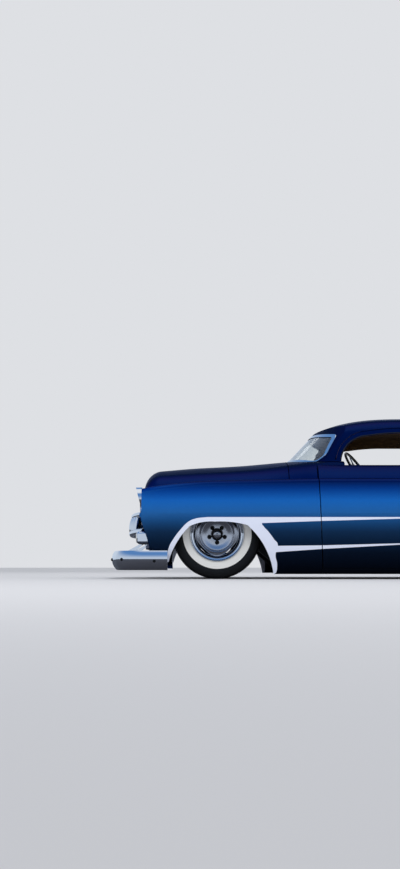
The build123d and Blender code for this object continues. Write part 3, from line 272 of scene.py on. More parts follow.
def makePaint(name, hasScallops, innerCentre=None, innerColour=None):
    material, tree, shader, texture = newMaterial(name, (paint["flakeScale"], 0.0, paint["roughness"], 0.03))
    shader.inputs["Coat Roughness"].default_value = paint["coatRoughness"]
    shader.inputs["Specular IOR Level"].default_value = paint["specular"]
    shader.inputs["Specular Tint"].default_value = seen(*paint["edgeTint"])
    place = addNode(tree, "TexCoord").outputs["Object"]
    height = addNode(tree, "SeparateXYZ", {0: place}).outputs["Z"]
    highest = paint["paintedLightFade"][-1][0]
    # the base colour fades by height, which paints reflection and shade into the blue
    ramp = addNode(tree, "ValToRGB", {0: mathNode(tree, "DIVIDE", height, highest)})
    stops = ramp.color_ramp.elements
    for index, (level, colour) in enumerate(paint["paintedLightFade"]):
        stop = stops[index] if index < 2 else stops.new(level / highest)
        stop.position = level / highest
        stop.color = seen(*colour)
    flakes = addNode(tree, "TexVoronoi", {"Vector": place, "Scale": paint["flakeScale"]})
    share = addNode(tree, "SeparateXYZ", {0: flakes.outputs["Color"]}).outputs[0]
    glint = remap(tree, share, 0.0, 1.0, 1 - paint["flakeGlint"], 1 + paint["flakeGlint"])
    colour = addNode(tree, "VectorMath", {0: ramp.outputs[0], "Scale": glint}, operation="SCALE").outputs[0]
    metallic, coat = paint["metallic"], paint["coat"]
    if hasScallops:
        front = addGroup(tree, scallops, {"Axle": frontAxle, "Reach": 1.0})
        rear = addGroup(tree, scallops, {"Axle": rearAxle, "Reach": scallop["rearReach"]})
        white = mathNode(tree, "MAXIMUM", front.outputs[0], rear.outputs[0])
        colour = mixColour(tree, white, colour, seen(*paint["pearl"]))
        metallic = remap(tree, white, 0.0, 1.0, metallic, paint["pearlMetallic"])
    if innerCentre:
        inside = addGroup(tree, innerSkin, {"Centre": innerCentre}).outputs[0]
        colour = mixColour(tree, inside, colour, seen(*innerColour))
        metallic = remap(tree, inside, 0.0, 1.0, metallic, 0.0)
        coat = remap(tree, inside, 0.0, 1.0, paint["coat"], 0.0)
        roughness = remap(tree, inside, 0.0, 1.0, paint["roughness"], paint["innerRoughness"])
        tree.links.new(roughness, shader.inputs["Roughness"])
    tree.links.new(colour, shader.inputs["Base Color"])
    for socket, value in (("Metallic", metallic), ("Coat Weight", coat)):
        if isinstance(value, float):
            shader.inputs[socket].default_value = value
        else:
            tree.links.new(value, shader.inputs[socket])
    return material


def makeGlass(name, tint, roughness):
    material, tree, shader, texture = newMaterial(
        name, (6.0, 0.0, roughness, 0.0), Transmission_Weight=1.0, IOR=1.45)
    darker = tuple(part * 0.97 for part in tint[:3]) + (1,)
    tree.links.new(mixColour(tree, texture.outputs["Mask"], tint, darker), shader.inputs["Base Color"])
    return material


finishes = {
    "sidePaint": makePaint("sidePaint", True),
    "topPaint": makePaint("topPaint", False),
    "roofPaint": makePaint("roofPaint", False, (0.0, 0.0, 0.95), (104, 80, 54)),
}
for name, light, dark, grainValues, values in (
    ("chrome", (0.86, 0.87, 0.89, 1), (0.78, 0.79, 0.81, 1), (120, 0.0, 0.05, 0.02), {"Metallic": 1.0}),
    ("frameBlack", (44, 44, 46), (28, 28, 30), (60, 0.05, 0.5, 0.1), {"Coat_Weight": 0.2}),
    ("castIron", (92, 92, 94), (62, 62, 65), (260, 0.35, 0.6, 0.1), {"Metallic": 0.6}),
    ("steel", (168, 168, 170), (132, 132, 136), (180, 0.08, 0.35, 0.1), {"Metallic": 1.0}),
    ("rubber", (20, 20, 21), (13, 13, 14), (300, 0.2, 0.62, 0.1), {}),
    ("whitewall", (240, 240, 238), (226, 226, 222), (120, 0.05, 0.42, 0.1), {}),
    ("darkVinyl", (74, 96, 140), (56, 78, 120), (420, 0.25, 0.45, 0.1), {}),
    ("vinyl", (228, 224, 214), (212, 206, 194), (420, 0.25, 0.42, 0.1), {}),
    ("ivory", (226, 216, 190), (216, 204, 176), (90, 0.02, 0.2, 0.05), {"Coat_Weight": 0.5}),
    ("darkMetal", (40, 40, 42), (24, 24, 26), (80, 0.1, 0.5, 0.1), {"Metallic": 0.7}),
    ("wheelFace", (0.62, 0.62, 0.65, 1), (0.5, 0.5, 0.53, 1), (140, 0.02, 0.2, 0.05), {"Metallic": 1.0}),
    ("blackPlastic", (30, 28, 28), (20, 19, 19), (200, 0.03, 0.25, 0.05), {"Coat_Weight": 0.4}),
    ("dialFace", (18, 20, 26), (12, 14, 18), (90, 0.0, 0.5, 0.05), {}),
    ("parkingLens", (222, 222, 214), (204, 205, 198), (60, 0.0, 0.12, 0.03), {"Coat_Weight": 0.8}),
    ("redPaint", (200, 40, 20), (180, 30, 14), (90, 0.0, 0.4, 0.05), {}),
    ("carpet", (66, 46, 36), (46, 32, 25), (700, 0.8, 0.95, 0.05), {}),
):
    finishes[name] = plainFinish(name, light, dark, grainValues, **values)
finishes["glass"] = makeGlass("glass", (0.93, 0.97, 0.96, 1), 0.0)
finishes["redLens"] = makeGlass("redLens", (0.55, 0.01, 0.01, 1), 0.08)
print("finishes made:", len(finishes))

nodeFinish = {
    "sidePaint": ["front_fender_left", "front_fender_right", "door_left", "door_right", "sill_left",
                  "sill_right", "quarter_panel_left", "quarter_panel_right", "tail_panel", "nose_panel"],
    "topPaint": ["hood", "boot_lid", "cowl", "rear_shelf", "dashboard"],
    "roofPaint": ["roof"],
    "chrome": ["grille", "headlamp_bezels", "front_bumper", "rear_bumper", "windscreen_trim",
               "rear_window_trim", "rim_front_left", "rim_front_right", "rim_rear_left", "rim_rear_right"],
    "frameBlack": ["chassis_frame", "inner_fenders", "fuel_tank", "front_suspension_arms", "rear_wheel_tubs"],
    "castIron": ["engine", "rear_axle", "knuckle_left", "knuckle_right"],
    "steel": ["steering_column", "gearbox_and_shaft", "exhaust", "tie_rod"],
    "rubber": ["rear_springs_and_links", "tyre_front_left", "tyre_front_right", "tyre_rear_left",
               "tyre_rear_right"],
    "vinyl": ["front_seat", "rear_seat"],
    "ivory": ["steering_wheel"],
    "darkMetal": ["radiator"],
    "carpet": ["floor_pan"],
    "glass": ["windscreen", "rear_window", "quarter_glass", "headlamp_lenses"],
    "redLens": ["tail_lamps"],
}
for finish, members in nodeFinish.items():
    for member in members:
        mesh = nodes[member].data
        mesh.materials.clear()
        mesh.materials.append(finishes[finish])
print("CAD nodes finished")


# mesh helpers
def pieceFrom(name, mesh, body, replaced=()):
    piece = bpy.data.objects.new(name, mesh)
    scene.collection.objects.link(piece)
    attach(piece, body)
    if replaced:
        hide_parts(*replaced)
    return piece


def meshFrom(name, points, faces, used, indices=None, sharpAngle=35):
    mesh = bpy.data.meshes.new(name)
    mesh.from_pydata([tuple(map(float, p)) for p in points], [], faces)
    for finish in used:
        mesh.materials.append(finishes[finish])
    if indices is not None:
        mesh.polygons.foreach_set("material_index", indices)
    mesh.shade_smooth()
    mesh.set_sharp_from_angle(angle=radians(sharpAngle))
    mesh.update()
    return mesh


def turned(profile, count):
    # profile: a closed outline of (y, radius, material index of the band that starts here); the axis is Y
    points, faces, indices = [], [], []
    rows = len(profile)
    for step in range(count):
        angle = 2 * pi * step / count
        for y, radius, _ in profile:
            points.append((radius * sin(angle), y, radius * cos(angle)))
    for step in range(count):
        here, there = step * rows, (step + 1) % count * rows
        for row in range(rows):
            after = (row + 1) % rows
            faces.append((here + row, here + after, there + after, there + row))
            indices.append(profile[row][2])
    return points, faces, indices


def tidied(mesh):
    work = bmesh.new()
    work.from_mesh(mesh)
    bmesh.ops.remove_doubles(work, verts=work.verts, dist=1e-6)
    bmesh.ops.recalc_face_normals(work, faces=work.faces)
    work.to_mesh(mesh)
    work.free()
    mesh.update()
    return mesh


def moved(mesh, offset, mirrorY=False):
    copy = mesh.copy()
    if mirrorY:
        copy.transform(Matrix.Diagonal((1, -1, 1, 1)))
        copy.flip_normals()
    copy.transform(Matrix.Translation(offset))
    return copy


def arcPoints(first, middle, last, count):  # points on the circle through three points, the last one left out
    (ax, ay), (bx, by), (cx, cy) = first, middle, last
    d = 2 * (ax * (by - cy) + bx * (cy - ay) + cx * (ay - by))
    ux = ((ax**2 + ay**2) * (by - cy) + (bx**2 + by**2) * (cy - ay) + (cx**2 + cy**2) * (ay - by)) / d
    uy = ((ax**2 + ay**2) * (cx - bx) + (bx**2 + by**2) * (ax - cx) + (cx**2 + cy**2) * (bx - ax)) / d
    radius = sqrt((ax - ux)**2 + (ay - uy)**2)
    start, mid, stop = [np.arctan2(y - uy, x - ux) for x, y in (first, middle, last)]
    turn = (stop - start) % (2 * pi)
    if (mid - start) % (2 * pi) > turn:
        turn -= 2 * pi
    angles = [start + turn * index / count for index in range(count)]
    return [(ux + radius * cos(angle), uy + radius * sin(angle)) for angle in angles]


def dome(base, height, radius, start, count):  # profile of a round cap, from the angle start to its tip
    return [(base + height * sin(t), radius * cos(t)) for t in np.linspace(start, pi / 2, count)]


def turnedPiece(name, profile, finish, count=96, sharpAngle=40):
    points, faces, _ = turned([(y, radius, 0) for y, radius in profile], count)
    return tidied(meshFrom(name, points, faces, [finish], sharpAngle=sharpAngle))


def carrierOf(data):  # an object that only helps to shape a mesh
    carrier = bpy.data.objects.new("carrier", data)
    scene.collection.objects.link(carrier)
    return carrier


def evaluated(carrier):
    return bpy.data.meshes.new_from_object(carrier.evaluated_get(bpy.context.evaluated_depsgraph_get()))


def thickened(mesh, wall):  # gives a sheet a wall behind its faces
    carrier = carrierOf(mesh)
    modifier = carrier.modifiers.new("wall", "SOLIDIFY")
    modifier.thickness = wall
    modifier.offset = -1
    bpy.context.view_layer.update()
    result = evaluated(carrier)
    bpy.data.objects.remove(carrier)
    return result


# tyres: a whitewall carcass with tread blocks
tyre = {
    "segments": 160,
    "blocksRound": 76,
    "ribs": [(-0.076, -0.048), (-0.043, -0.017), (-0.012, 0.012), (0.017, 0.043), (0.048, 0.076)],
    "blockFill": 0.82,
    "treadDepth": 0.007,
    "skew": 0.35,
    "skewSpan": 0.03,
    "radius": 0.343,
    "crownDrop": 0.012,
    "halfTread": 0.08,
    "crownEdge": 0.079,
    "crownRows": 25,
    "grooveEdge": 0.077,
    "sunk": 0.001,
    "whiteOuter": 0.265,
    # three points of the sidewall, outside and inside, as radius and distance from the middle
    "outerWall": [(0.211, 0.0757), (0.272, 0.095), (0.331, 0.08)],
    "innerWall": [(0.1907, -0.06), (0.262, -0.08), (0.315, -0.066)],
    "innerCrown": [(0.318, -0.05), (0.322, 0.0), (0.318, 0.05)],
}


def treadRadius(y):  # the crown of the CAD tyre
    return tyre["radius"] - tyre["crownDrop"] * (y / tyre["halfTread"])**2


def tyreProfile():
    outer, inner = arcPoints(*tyre["outerWall"], 26), arcPoints(*tyre["innerWall"], 8)
    (beadRadius, beadY), (seatRadius, seatY) = tyre["outerWall"][0], tyre["innerWall"][0]
    rows = [(y, r, 1 if r < tyre["whiteOuter"] else 0) for r, y in outer]
    for y in np.linspace(tyre["crownEdge"], -tyre["crownEdge"], tyre["crownRows"]):
        depth = tyre["treadDepth"] if abs(y) < tyre["grooveEdge"] else tyre["sunk"]
        rows.append((y, treadRadius(y) - depth, 0))
    rows += [(-y, r, 0) for r, y in reversed(outer[1:])]
    rows += [(-beadY, beadRadius, 0), (-beadY, seatRadius, 0), (seatY, seatRadius, 0)]
    rows += [(y, r, 0) for r, y in inner[1:] + tyre["innerCrown"]]
    rows += [(-y, r, 0) for r, y in reversed(inner[1:])]
    return rows + [(-seatY, seatRadius, 0), (beadY, seatRadius, 1)]


def treadPitch():  # one pitch of blocks at the top of the tyre
    points, faces = [], []
    half = pi / tyre["blocksRound"] * tyre["blockFill"]
    for low, high in tyre["ribs"]:
        skew = tyre["skew"] * half * (1 if low + high > 0 else -1)
        first = len(points)
        for y in (low, high):
            shift = skew * (y - low) / tyre["skewSpan"]
            for angle in (-half + shift, half + shift):
                for depth in (tyre["treadDepth"] + tyre["sunk"], 0.0):
                    radius = treadRadius(y) - depth
                    points.append((radius * sin(angle), y, radius * cos(angle)))
        for corner in ((0, 2, 6, 4), (1, 5, 7, 3), (0, 4, 5, 1), (2, 3, 7, 6), (0, 1, 3, 2), (4, 6, 7, 5)):
            faces.append(tuple(first + c for c in corner))
    return tidied(meshFrom("treadPitch", points, faces, ["rubber"]))


def spinRepeats(name, mesh, count, finish, axis="Y"):
    # geometry nodes: turns the mesh about an axis through the origin, count times
    tree = bpy.data.node_groups.new(name, "GeometryNodeTree")
    tree.interface.new_socket("Geometry", in_out="INPUT", socket_type="NodeSocketGeometry")
    countSocket = tree.interface.new_socket("Count", in_out="INPUT", socket_type="NodeSocketInt")
    tree.interface.new_socket("Geometry", in_out="OUTPUT", socket_type="NodeSocketGeometry")
    start, end = tree.nodes.new("NodeGroupInput"), tree.nodes.new("NodeGroupOutput")
    repeats = start.outputs["Count"]
    spots = addNode(tree, "GeometryNodeMeshLine", {"Count": repeats, "Offset": (0, 0, 0)})
    index = addNode(tree, "GeometryNodeInputIndex").outputs[0]
    turn = mathNode(tree, "MULTIPLY", mathNode(tree, "DIVIDE", 2 * pi, repeats), index)
    angles = addNode(tree, "CombineXYZ", {axis: turn}).outputs[0]
    placed = addNode(tree, "GeometryNodeInstanceOnPoints", {
        "Points": spots.outputs[0], "Instance": start.outputs["Geometry"], "Rotation": angles})
    real = addNode(tree, "GeometryNodeRealizeInstances", {0: placed.outputs[0]})
    coat = addNode(tree, "GeometryNodeSetMaterial", {0: real.outputs[0], "Material": finishes[finish]})
    tree.links.new(coat.outputs[0], end.inputs[0])
    return realised(mesh, tree, {countSocket.identifier: count})


def realised(mesh, tree, values):
    carrier = carrierOf(mesh)
    modifier = carrier.modifiers.new("repeat", "NODES")
    modifier.node_group = tree
    for identifier, value in values.items():
        modifier[identifier] = value
    carrier.update_tag()
    bpy.context.view_layer.update()
    result = evaluated(carrier)
    bpy.data.objects.remove(carrier)
    return result


def joined(name, meshes):
    work = bmesh.new()
    materials = []
    for mesh in meshes:
        offset = len(materials)
        first = len(work.faces)
        work.from_mesh(mesh)
        work.faces.ensure_lookup_table()
        for face in work.faces[first:]:
            face.material_index += offset
        materials += list(mesh.materials)
    result = bpy.data.meshes.new(name)
    work.to_mesh(result)
    work.free()
    for material in materials:
        result.materials.append(material)
    return result


def putOnWheels(name, mesh):  # a copy on each of the four wheels
    for end, x, y in (("front", frontAxle, frontWheelY), ("rear", rearAxle, rearWheelY)):
        for label, side in sides.items():
            node = f"{name}_{end}_{label}"
            copy = moved(mesh, (x, y * side, wheelHeight), side < 0)
            pieceFrom(f"{node}_dressed", copy, f"wheel_{end}_{label}", [node])


points, faces, indices = turned(tyreProfile(), tyre["segments"])
carcass = tidied(meshFrom("carcass", points, faces, ["rubber", "whitewall"], indices))
tread = spinRepeats("treadRing", treadPitch(), tyre["blocksRound"], "rubber")
putOnWheels("tyre", joined("tyre", [carcass, tread]))
print("tyres made")

# wheels: steel rims with a lobed centre, five nuts and a small chrome cap
wheel = {
    "segments": 192,
    "wall": 0.003,
    # half the side and half the diagonal of the rounded square that the disc ends in, and how square it is
    "slotDepth": 0.152,
    "lobeReach": 0.169,
    "lobePower": 14,
    "nuts": 5,
    "nutCircle": 0.062,
    "nutRadius": 0.0095,
    "bossRadius": 0.03,
    "capRadius": 0.01,
    "valvePlace": (0.124, 0.05, 0.124),
    # distance outwards and radius
    "barrel": [
        (0.084, 0.2095), (0.0865, 0.207), (0.0865, 0.2035), (0.083, 0.2005), (0.079, 0.199), (0.077, 0.195),
        (0.075, 0.187), (0.044, 0.1855), (0.038, 0.1835), (0.034, 0.17), (0.03, 0.1672), (-0.038, 0.167),
        (-0.044, 0.169), (-0.047, 0.1855), (-0.074, 0.1855), (-0.08, 0.199), (-0.082, 0.204), (-0.08, 0.2078),
        (-0.0762, 0.207), (-0.0758, 0.1908), (-0.046, 0.1906), (-0.038, 0.1722), (0.03, 0.1722),
        (0.038, 0.1906), (0.0758, 0.1908), (0.0762, 0.206), (0.0785, 0.2095),
    ],
    "disc": [
        (0.024, 0.04), (0.0245, 0.052), (0.0235, 0.076), (0.025, 0.088), (0.029, 0.1), (0.0325, 0.11),
        (0.034, 0.1165), (0.035, 0.1205), (0.034, 0.1245), (0.03, 0.128), (0.025, 0.131), (0.0215, 0.1345),
        (0.02, 0.139),
    ],
    # the disc's edge: distance outwards and how far short of the lobe
    "discEdge": [(0.019, 0.003), (0.0165, 0.0), (0.0125, 0.0), (0.012, 0.004)],
}


def lobeRadius(angle):  # a rounded square whose corners meet the barrel at the top, bottom, front and rear
    across = wheel["slotDepth"] / max(abs(cos(angle + pi / 4)), abs(sin(angle + pi / 4)))
    power = wheel["lobePower"]
    return (across**-power + wheel["lobeReach"]**-power) ** (-1 / power)


def makeDisc():
    points, faces = [], []
    count = wheel["segments"]
    rows = len(wheel["disc"]) + len(wheel["discEdge"]) + 1
    for step in range(count):
        angle = 2 * pi * step / count
        reach = lobeRadius(angle)
        middle = 0.5 * (wheel["disc"][-1][1] + reach)
        edge = [(0.0195, middle)] + [(y, reach - short) for y, short in wheel["discEdge"]]
        for y, radius in wheel["disc"] + edge:
            points.append((radius * sin(angle), y, radius * cos(angle)))
    for step in range(count):
        here, there = step * rows, (step + 1) % count * rows
        for row in range(rows - 1):
            faces.append((here + row, here + row + 1, there + row + 1, there + row))
    mesh = meshFrom("disc", points, faces, ["wheelFace"], sharpAngle=50)
    return thickened(tidied(mesh), wheel["wall"])


def makeNut():
    rings = [(0.018, 1.0), (0.027, 1.0), (0.029, 0.92), (0.032, 0.75), (0.034, 0.4)]
    points, faces = [], []
    for y, share in rings:
        for corner in range(6):
            angle = pi / 3 * corner
            radius = wheel["nutRadius"] * share
            points.append((radius * sin(angle), y, wheel["nutCircle"] + radius * cos(angle)))
    points.append((0, 0.0345, wheel["nutCircle"]))
    for ring in range(len(rings) - 1):
        for corner in range(6):
            a, b = ring * 6 + corner, ring * 6 + (corner + 1) % 6
            faces.append((a, b, b + 6, a + 6))
    last = (len(rings) - 1) * 6
    for corner in range(6):
        faces.append((last + corner, last + (corner + 1) % 6, last + 6))
    faces.append(tuple(range(5, -1, -1)))
    return tidied(meshFrom("nut", points, faces, ["darkMetal"], sharpAngle=25))


def makeWheel():
    recess = [(0.0255, 0.0), (0.0265, 0.012), (0.0265, 0.034), (0.0285, 0.036), (0.0285, 0.041),
              (0.02, 0.0425), (0.02, 0.0)]
    radius = wheel["bossRadius"]
    boss = [(0.024, 0.0), (0.024, radius), (0.03, radius), (0.032, radius - 0.002), (0.034, radius * 0.45),
            (0.034, 0.0)]
    radius = wheel["capRadius"]
    cap = [(0.03, 0.0), (0.03, radius), (0.037, radius)] + dome(0.037, 0.008, radius, 0.1, 10)
    drum = [(-0.07, 0.03), (-0.07, 0.148), (-0.066, 0.15), (0.008, 0.15), (0.012, 0.146), (0.012, 0.03)]
    valve = [(0, 0.0), (0, 0.004), (0.02, 0.004), (0.022, 0.003), (0.026, 0.003), (0.026, 0.0)]
    cup = [(0.0256, 0.0), (0.0256, 0.0135), (0.0272, 0.0148), (0.0262, 0.017), (0.0205, 0.017), (0.0205, 0.0)]
    cup = moved(turnedPiece("cup", cup, "darkMetal", 24), (0, 0, wheel["nutCircle"]))
    rings = [spinRepeats("cupRing", cup, wheel["nuts"], "darkMetal"),
             spinRepeats("nutRing", makeNut(), wheel["nuts"], "darkMetal")]
    for ring in rings:  # one nut at the bottom, as in the photograph
        ring.transform(Matrix.Rotation(pi, 4, "Y"))
    return joined("wheelParts", [
        turnedPiece("barrel", wheel["barrel"], "chrome", wheel["segments"], 60),
        makeDisc(),
        turnedPiece("recess", recess, "darkMetal"),
        turnedPiece("boss", boss, "wheelFace", 64),
        turnedPiece("cap", cap, "chrome", 48),
        turnedPiece("drum", drum, "castIron", 96, 30),
        moved(turnedPiece("valve", valve, "rubber", 16), wheel["valvePlace"]),
        *rings,
    ])


putOnWheels("rim", makeWheel())
print("wheels made")


def treeOf(name):
    mesh = nodes[name].data
    return BVHTree.FromPolygons([v.co for v in mesh.vertices], [tuple(p.vertices) for p in mesh.polygons])


# pieces that stand at a slope are made about the Y axis and laid over with this
def laid(mesh, place, along):
    copy = mesh.copy()
    copy.transform(Vector((0, 1, 0)).rotation_difference(Vector(along)).to_matrix().to_4x4())
    copy.transform(Matrix.Translation(place))
    return copy


def bothSides(name, mesh):  # the mesh and its mirror image across the car
    return joined(name, [mesh, moved(mesh, (0, 0, 0), True)])


def barMesh(name, points, radius, finish, roundness):  # round bar along points
    curve = bpy.data.curves.new(name, "CURVE")
    curve.dimensions = "3D"
    curve.bevel_depth = radius
    curve.bevel_resolution = roundness
    curve.use_fill_caps = True
    spline = curve.splines.new("POLY")
    spline.points.add(len(points) - 1)
    for point, place in zip(spline.points, points):
        point.co = (*place, 1)
    curve.materials.append(finishes[finish])
    carrier = carrierOf(curve)
    bpy.context.view_layer.update()
    mesh = evaluated(carrier)
    bpy.data.objects.remove(carrier)
    mesh.shade_smooth()
    mesh.set_sharp_from_angle(angle=radians(50))
    return tidied(mesh)


def roundedMesh(name, work, edge, finish, steps, sharpAngle):  # rounds all edges and gives the finish
    bmesh.ops.bevel(work, geom=work.edges[:], offset=edge, segments=steps, profile=0.5, affect="EDGES")
    mesh = bpy.data.meshes.new(name)
    work.to_mesh(mesh)
    work.free()
    mesh.materials.append(finishes[finish])
    mesh.shade_smooth()
    mesh.set_sharp_from_angle(angle=radians(sharpAngle))
    return mesh


def softBox(name, low, high, edge, finish, steps=4):  # box with rounded edges
    work = bmesh.new()
    bmesh.ops.create_cube(work, size=1.0)
    size = Vector(high) - Vector(low)
    for vertex in work.verts:
        vertex.co = Vector([low[i] + (vertex.co[i] + 0.5) * size[i] for i in range(3)])
    return roundedMesh(name, work, edge, finish, steps, 50)


def prismMesh(name, outline, half, edge, finish):  # outline in X and Z, drawn out along Y
    work = bmesh.new()
    near = [work.verts.new((x, -half, z)) for x, z in outline]
    far = [work.verts.new((x, half, z)) for x, z in outline]
    count = len(outline)
    work.faces.new(near)
    work.faces.new(far[::-1])
    for index in range(count):
        after = (index + 1) % count
        work.faces.new((near[after], near[index], far[index], far[after]))
    bmesh.ops.recalc_face_normals(work, faces=work.faces)
    return roundedMesh(name, work, edge, finish, 3, 40)


# steering wheel: black rim, three pairs of chrome spokes and a horn ring
steering = {
    "centre": (0.461, 0.38, 0.833),
    "slope": radians(55),
    "radius": 0.208,
    "grip": 0.0105,
    "hornRadius": 0.112,
    "hornRod": 0.0035,
    "spokeRod": 0.0042,
    "spokeGap": 0.014,
}


def ringProfile(y, radius, rod, count):
    return [(y + rod * sin(t), radius + rod * cos(t)) for t in np.linspace(0, 2 * pi, count + 1)[:-1]]


def makeSteeringWheel():
    grip = ringProfile(0.0, steering["radius"], steering["grip"], 14)
    horn = ringProfile(-0.006, steering["hornRadius"], steering["hornRod"], 8)
    parts = [turnedPiece("grip", grip, "blackPlastic", 128), turnedPiece("horn", horn, "chrome", 96)]
    for angle in (180, 300, 420):
        out = Vector((sin(radians(angle)), 0, cos(radians(angle))))
        for shift in (-0.5, 0.5):
            across = Vector((out.z, 0, -out.x)) * shift * steering["spokeGap"]
            bends = ((0.02, -0.022), (0.1, -0.01), (0.204, 0.0))
            spoke = [tuple(out * radius + across + Vector((0, y, 0))) for radius, y in bends]
            parts.append(barMesh("spoke", spoke, steering["spokeRod"], "chrome", 3))
    hub = [(-0.055, 0.0), (-0.055, 0.03), (-0.05, 0.033), (-0.03, 0.034), (-0.022, 0.04), (-0.014, 0.04),
           (-0.01, 0.036), (-0.01, 0.0)]
    parts.append(turnedPiece("hub", hub, "blackPlastic", 64))
    button = [(-0.01, 0.03)] + dome(-0.01, 0.012, 0.03, 0.1, 8) + [(-0.012, 0.0), (-0.012, 0.03)]
    parts.append(turnedPiece("button", button, "chrome", 64))
    along = (-sin(steering["slope"]), 0, cos(steering["slope"]))
    return laid(joined("steeringWheel", parts), steering["centre"], along)


pieceFrom("steeringWheel", makeSteeringWheel(), "steering_wheel", ["steering_wheel"])
print("steering wheel made")

# dashboard dials, knobs and a radio
dash = {
    "face": 0.7015,
    "height": 0.811,
    "facing": (-0.969, 0, 0.248),
    # place across the car and radius
    "dials": [(0.38, 0.036), (0.285, 0.026), (0.475, 0.026)],
    "knobs": [0.17, 0.09, -0.09, -0.17],
    "knobDrop": 0.004,
    # shares of the dial's radius
    "tickFrom": 0.72,
    "tickTo": 0.9,
    "needleTo": 0.75,
    "ticks": 12,
    "radioRows": 5,
    "radioPitch": 0.009,
    "radioHalf": 0.055,
    "radioFoot": 0.795,
    "radioRod": 0.0025,
    # the face leans back by this share of its height, from this place on it
    "lean": 0.256,
    "leanFrom": (0.6965, 0.77),
}


def makeDial(radius):
    bezel = [(0.0, radius), (0.0, radius + 0.005), (0.006, radius + 0.005), (0.009, radius + 0.002),
             (0.006, radius - 0.002), (0.001, radius - 0.003)]
    face = [(-0.002, 0.0), (-0.002, radius), (0.0015, radius), (0.0015, 0.0)]
    near, far, tip = radius * dash["tickFrom"], radius * dash["tickTo"], radius * dash["needleTo"]
    tick = softBox("tick", (-0.0006, 0.0015, near), (0.0006, 0.0022, far), 0.0002, "ivory", 1)
    needle = softBox("needle", (-0.0008, 0.0025, -0.004), (0.0008, 0.0035, tip), 0.0003, "redPaint", 1)
    return joined("dial", [
        turnedPiece("bezel", bezel, "chrome", 64),
        turnedPiece("dialFace", face, "dialFace", 48),
        spinRepeats("ticks", tick, dash["ticks"], "ivory"),
        needle,
    ])


def makeDash():
    face, height, facing = dash["face"], dash["height"], dash["facing"]
    parts = [laid(makeDial(radius), (face, y, height), facing) for y, radius in dash["dials"]]
    knob = [(0, 0.0), (0, 0.009), (0.01, 0.011), (0.016, 0.01), (0.019, 0.006), (0.019, 0.0)]
    knob = turnedPiece("knob", knob, "ivory", 24)
    parts += [laid(knob, (face, y, height - dash["knobDrop"]), facing) for y in dash["knobs"]]
    half = dash["radioHalf"]
    foot, footHeight = dash["leanFrom"]
    for row in range(dash["radioRows"]):
        z = dash["radioFoot"] + dash["radioPitch"] * row
        x = foot + (z - footHeight) * dash["lean"]
        parts.append(barMesh("slat", [(x, -half, z), (x, half, z)], dash["radioRod"], "chrome", 2))
    return joined("dashFittings", parts)


pieceFrom("dashFittings", makeDash(), "root")
print("dashboard fitted")

# headlamps: reflector and bulb behind the CAD glass
lamp = {"place": (2.212, 0.7, 0.612), "radius": 0.079, "depth": 0.036, "back": 0.0462, "wall": 0.002}


def makeHeadlamps():
    rows = np.linspace(0.0, lamp["radius"], 12)
    bowl = [(-lamp["depth"] * (1 - (r / lamp["radius"])**2) - lamp["back"], r) for r in rows]
    behind = [(y - lamp["wall"], r) for y, r in reversed(bowl)]
    bulb = [(-0.08, 0.0), (-0.08, 0.008), (-0.058, 0.008), (-0.052, 0.005), (-0.05, 0.0)]
    parts = [turnedPiece("reflector", bowl + behind, "chrome", 64),
             turnedPiece("bulb", bulb, "whitewall", 24)]
    return bothSides("headlampInsides", laid(joined("headlampInside", parts), lamp["place"], (1, 0, 0)))


pieceFrom("headlampInsides", makeHeadlamps(), "root")

# parking lamps: ribbed lens and bright rim on the housings under the headlamps
parking = {
    "front": 2.245,
    "low": (0.712, 0.284),
    "high": (0.818, 0.348),
    "rim": 0.008,
    "ribs": 9,
    "ribHalf": 0.002,
    "ribInset": 0.006,
    # how far each reaches behind and before the housing's front
    "rimReach": (-0.004, 0.003),
    "lensReach": (-0.002, 0.007),
    "ribReach": (0.005, 0.0085),
}


def makeParkingLamps():
    (y1, z1), (y2, z2) = parking["low"], parking["high"]
    rim, last, half, inset = parking["rim"], parking["ribs"] - 1, parking["ribHalf"], parking["ribInset"]

    def plate(name, across, heights, edge, finish, steps):
        back, face = [parking["front"] + reach for reach in parking[f"{name}Reach"]]
        (left, right), (low, high) = across, heights
        return softBox(name, (back, left, low), (face, right, high), edge, finish, steps)

    parts = [plate("rim", (y1 - rim, y2 + rim), (z1 - rim, z2 + rim), 0.003, "chrome", 2),
             plate("lens", (y1, y2), (z1, z2), 0.004, "parkingLens", 3)]
    for index in range(parking["ribs"]):
        y = y1 + rim + (y2 - y1 - 2 * rim) * index / last
        parts.append(plate("rib", (y - half, y + half), (z1 + inset, z2 - inset), 0.0012, "parkingLens", 2))
    pieceFrom("parkingLamps", bothSides("parkingLamps", joined("parkingLamp", parts)), "root")


makeParkingLamps()

# bumper bolts: domed heads on the blade, two at each side and one at the front, placed by the photograph
bolt = {
    "radius": 0.012,
    "height": 0.008,
    # distance behind the bumper's tip and height
    "sideSpots": [(0.125, 0.15), (0.377, 0.137)],
    # distance from the middle and height
    "frontSpot": (0.42, 0.15),
    "rayFrom": 2.0,
}


